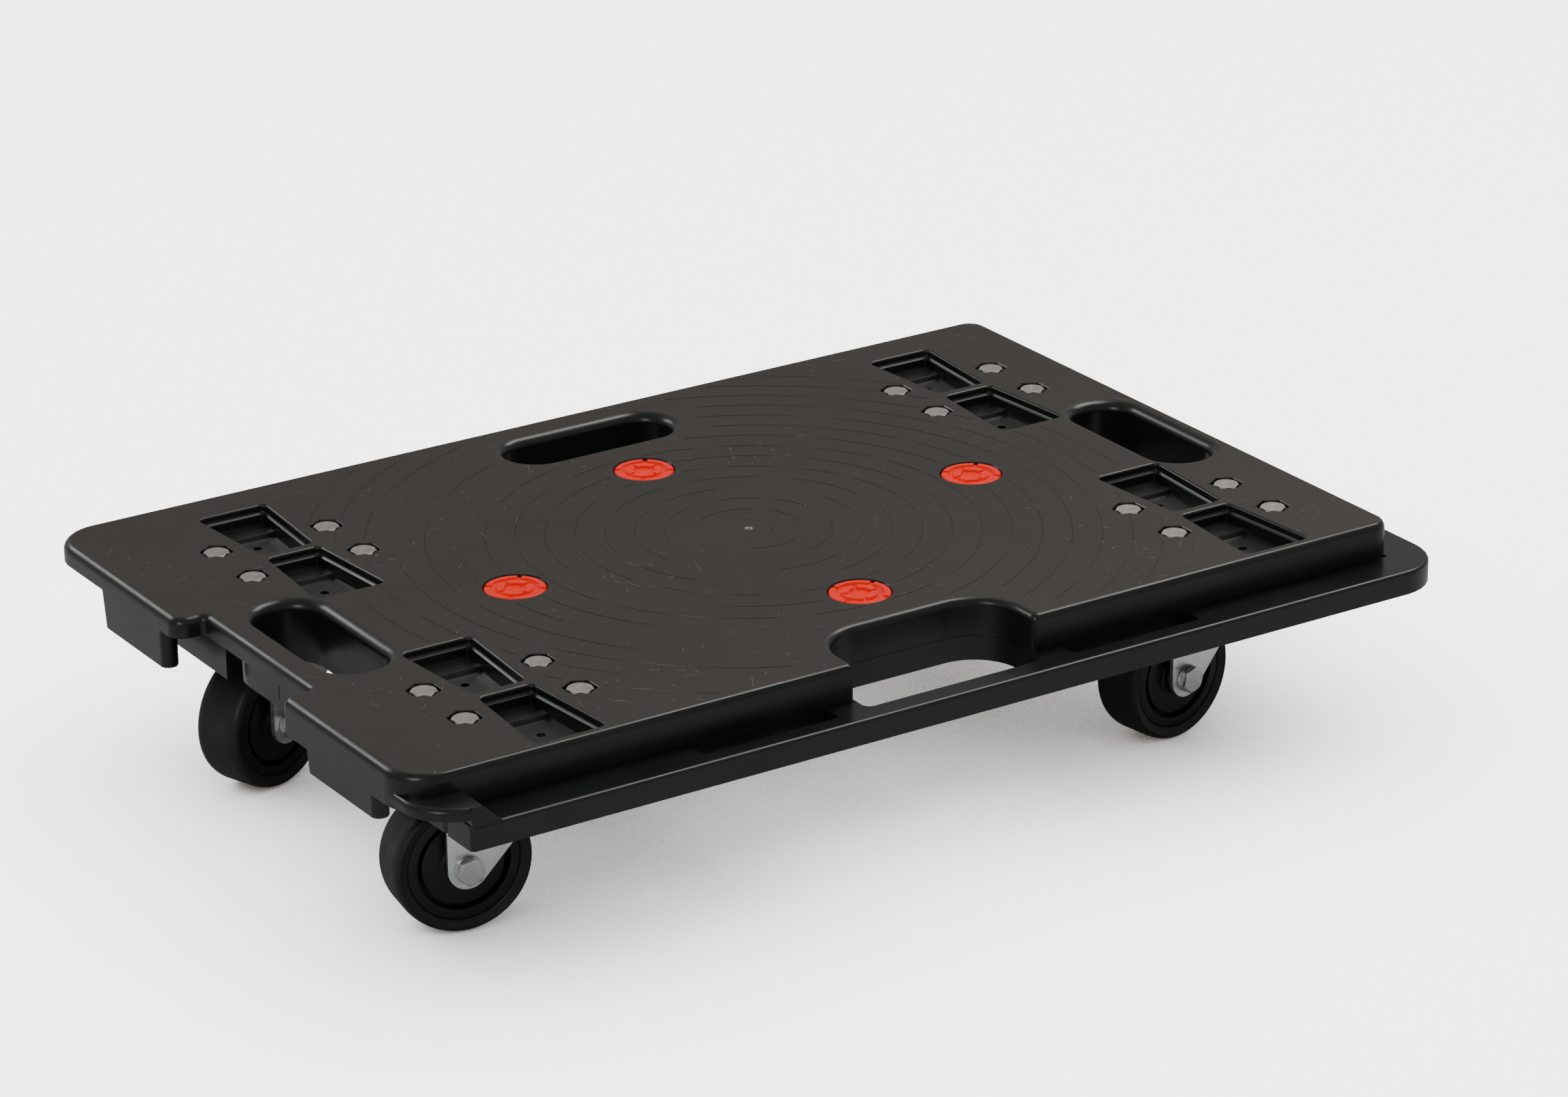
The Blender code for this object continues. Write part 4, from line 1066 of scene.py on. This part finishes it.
def makeDeckBolt():
    headLow = below(castors["headRecess"]) + gap
    nutTop = plateBottom - gap
    nutLow = nutTop - bolt["nutHeight"]
    head = hexPrism(bolt["across"], headLow, headLow + bolt["headHeight"], False, True, 0.0, 1.0, 1.6)
    piece = objectFrom("deckBolt", head, finishes["head"])
    fuse(piece, threadedTip(nutLow - bolt["tip"], headLow + 1.0))
    fuse(piece, hexPrism(bolt["across"], nutLow, nutTop, True, True))
    return piece


def makeAxleBolt():
    start = forkHalf + 0.1
    headLow = start + bolt["washerThickness"]
    tip = -(forkHalf + gap + bolt["nutHeight"] + bolt["tip"])
    top = forkHalf + gap + bolt["headHeight"]
    head = hexPrism(bolt["across"], headLow, top, False, True, 0.26)
    piece = objectFrom("axleBolt", laidOver(head), finishes["bolt"])
    washer = turned([(0.0, start), (bolt["washer"] - 0.3, start), (bolt["washer"], start + 0.3),
                     (bolt["washer"], headLow - 0.2), (bolt["washer"] - 0.3, headLow + 0.05),
                     (0.0, headLow + 0.05)], 48)
    fuse(piece, laidOver(washer))
    fuse(piece, laidOver(threadedTip(tip, headLow + 1.0)))
    return piece


def makeAxleNut():
    top = -(forkHalf + gap)
    nut = hexPrism(bolt["across"], top - bolt["nutHeight"], top, True, True)
    piece = objectFrom("axleNut", laidOver(nut), finishes["bolt"])
    hole = laidOver(roundBar(0, 0, bolt["radius"] + 0.25, top - bolt["nutHeight"] - 1, top + 1))
    return cut(piece, hole)


def placed(shape, name, matrix, body, node):
    piece = shape.copy()
    piece.name = name
    bpy.context.scene.collection.objects.link(piece)
    piece.matrix_world = matrix
    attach(piece, body)
    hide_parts(node)
    return piece


def makeCastors():
    joints = {joint["name"]: joint for joint in frame["joints"]}
    fixed = {"plate": makePlate(), "ball_race": makeRace(), "king_pin": makeKingPin()}
    swivelling = {"fork": makeFork()}
    axle = {"axle_sleeve": makeSleeve(), "axle_bolt": makeAxleBolt(), "axle_nut": makeAxleNut()}
    rolling = {"tyre": (makeTyre(), "tyre_rubber"), "wheel_core": (makeCore(), "wheel_plastic")}
    deckBolt = makeDeckBolt()
    shapes = [*fixed.values(), *swivelling.values(), *axle.values(), deckBolt]
    shapes += [shape for shape, _ in rolling.values()]
    for shape in shapes:
        smooth(shape)
    chance = random.Random(3)
    for name in castorNames:
        centre = Vector(joints[name + "_swivel"]["pos_m"])
        hub = Vector(joints[name + "_wheel_spin"]["pos_m"])
        yaw = math.atan2(centre.y - hub.y, centre.x - hub.x)
        seat = Matrix.Translation((centre.x, centre.y, 0.0))
        swivel = seat @ Matrix.Rotation(yaw, 4, "Z")
        atAxle = Matrix.Translation(hub) @ Matrix.Rotation(yaw, 4, "Z")
        for part, shape in fixed.items():
            node = name + "_" + part
            placed(shape, node + "_piece", seat, "deck_frame", node)
        for number, (bx, by) in enumerate(boltPlaces(0, 0), start=1):
            turn = Matrix.Rotation(math.radians(30 + chance.uniform(-3, 3)), 4, "Z")
            place = seat @ Matrix.Translation((bx * mm, by * mm, 0.0)) @ turn
            node = "%s_deck_bolt_%d" % (name, number)
            placed(deckBolt, node + "_piece", place, "deck_frame", node)
        body, node = name + "_fork_body", name + "_fork"
        placed(swivelling["fork"], node + "_piece", swivel, body, node)
        for part, shape in axle.items():
            node = name + "_" + part
            placed(shape, node + "_piece", atAxle, body, node)
        for part, (shape, slot) in rolling.items():
            node = name + "_" + part
            placed(shape, node + "_piece", atAxle, name + "_wheel", node)
    for shape in shapes:
        bpy.data.objects.remove(shape, do_unlink=True)
    print("castors made")


makeCastors()


stage = {
    "floor": 12.0,
    "tone": (0.20, 0.20, 0.20),
    "shade": (0.016, 0.013, 0.011),   # painted shadow: the floor's glow and tone where the deck covers it
    "shadeReach": 0.22,
    "seen": 4.2,               # how bright floor and room look from the camera
    "cast": 0.42,              # and how much light they cast on the trolley
}


def makeStage():
    mesh = bmesh.new()
    bmesh.ops.create_grid(mesh, x_segments=1, y_segments=1, size=stage["floor"])
    made = Finish("paleFloor", 0.8)
    # painted shadow: the floor's glow and its tone darken with ambient occlusion under the deck
    covered = made.add("AmbientOcclusion", Distance=stage["shadeReach"], samples=8).outputs["AO"]
    glowWithShadow = made.ramp(covered, [(0.15, stage["shade"]), (0.95, 1.0)])
    made.put(glowWithShadow, made.shader["Emission Color"])
    made.put(made.times(glowWithShadow, (*stage["tone"], 1.0)), made.shader["Base Color"])
    made.put(seenOrCast(made), made.shader["Emission Strength"])
    floor = objectFrom("floor", mesh, made.material)
    floor.location.z = cadBox[0][2] - 0.0002
    world = bpy.data.worlds.new("softRoom")
    world.use_nodes = True
    background = world.node_tree.nodes["Background"].inputs
    background["Color"].default_value = (1.0, 1.0, 1.0, 1.0)
    room = Nodes(world.node_tree)
    room.put(seenOrCast(room), background["Strength"])
    bpy.context.scene.world = world


def seenOrCast(made):
    # bright where the camera looks at it, dimmer as a source of light and reflections
    seen = made.add("LightPath").outputs["Is Camera Ray"]
    return made.add("MapRange", Value=seen, To_Min=stage["cast"], To_Max=stage["seen"]).outputs["Result"]


def addLight(name, place, aim, size, power, tone=(1.0, 1.0, 1.0)):
    light = bpy.data.lights.new(name, "AREA")
    light.shape = "RECTANGLE"
    light.size, light.size_y = size
    light.energy = power
    light.color = tone
    lamp = bpy.data.objects.new(name, light)
    bpy.context.scene.collection.objects.link(lamp)
    lamp.location = place
    lamp.rotation_euler = (Vector(aim) - Vector(place)).to_track_quat("-Z", "Y").to_euler()
    return lamp


def makeLights():
    addLight("overhead", (1.15, 0.1, 1.95), (0, 0, 0.1), (0.9, 1.5), 38, (1.0, 0.98, 0.95))
    addLight("behind", (-0.9, 1.9, 1.3), (0, 0, 0.1), (1.1, 0.5), 12)
    addLight("frontLeft", (-1.9, -1.1, 1.3), (0, 0, 0.1), (0.6, 0.6), 12)


view = {
    "azimuth": -32.72,
    "elevation": 21.93,
    "roll": -0.66,
    "distance": 2903.8,        # millimetres, to the middle of the load face
    "right": -19.04,           # where that middle stands in the picture
    "up": 10.87,
    "lens": 123.3,
}


def makeCamera():
    az, el, roll = (math.radians(view[key]) for key in ("azimuth", "elevation", "roll"))
    back = Vector((math.sin(az) * math.cos(el), -math.cos(az) * math.cos(el), math.sin(el)))
    level = (-back).cross(Vector((0, 0, 1))).normalized()
    upright = level.cross(-back)
    right = level * math.cos(roll) + upright * math.sin(roll)
    up = upright * math.cos(roll) - level * math.sin(roll)
    middle = Vector((0, 0, deckTop * mm))
    place = middle - (right * view["right"] + up * view["up"] - back * view["distance"]) * mm
    data = bpy.data.cameras.new("camera")
    data.lens = view["lens"]
    data.sensor_width = 36.0
    data.clip_end = 50.0
    camera = bpy.data.objects.new("camera", data)
    bpy.context.scene.collection.objects.link(camera)
    turn = Matrix((right, up, back)).transposed().to_4x4()
    camera.matrix_world = Matrix.Translation(place) @ turn
    bpy.context.scene.camera = camera


makeStage()
makeLights()
makeCamera()
print("stage, lights and camera set")
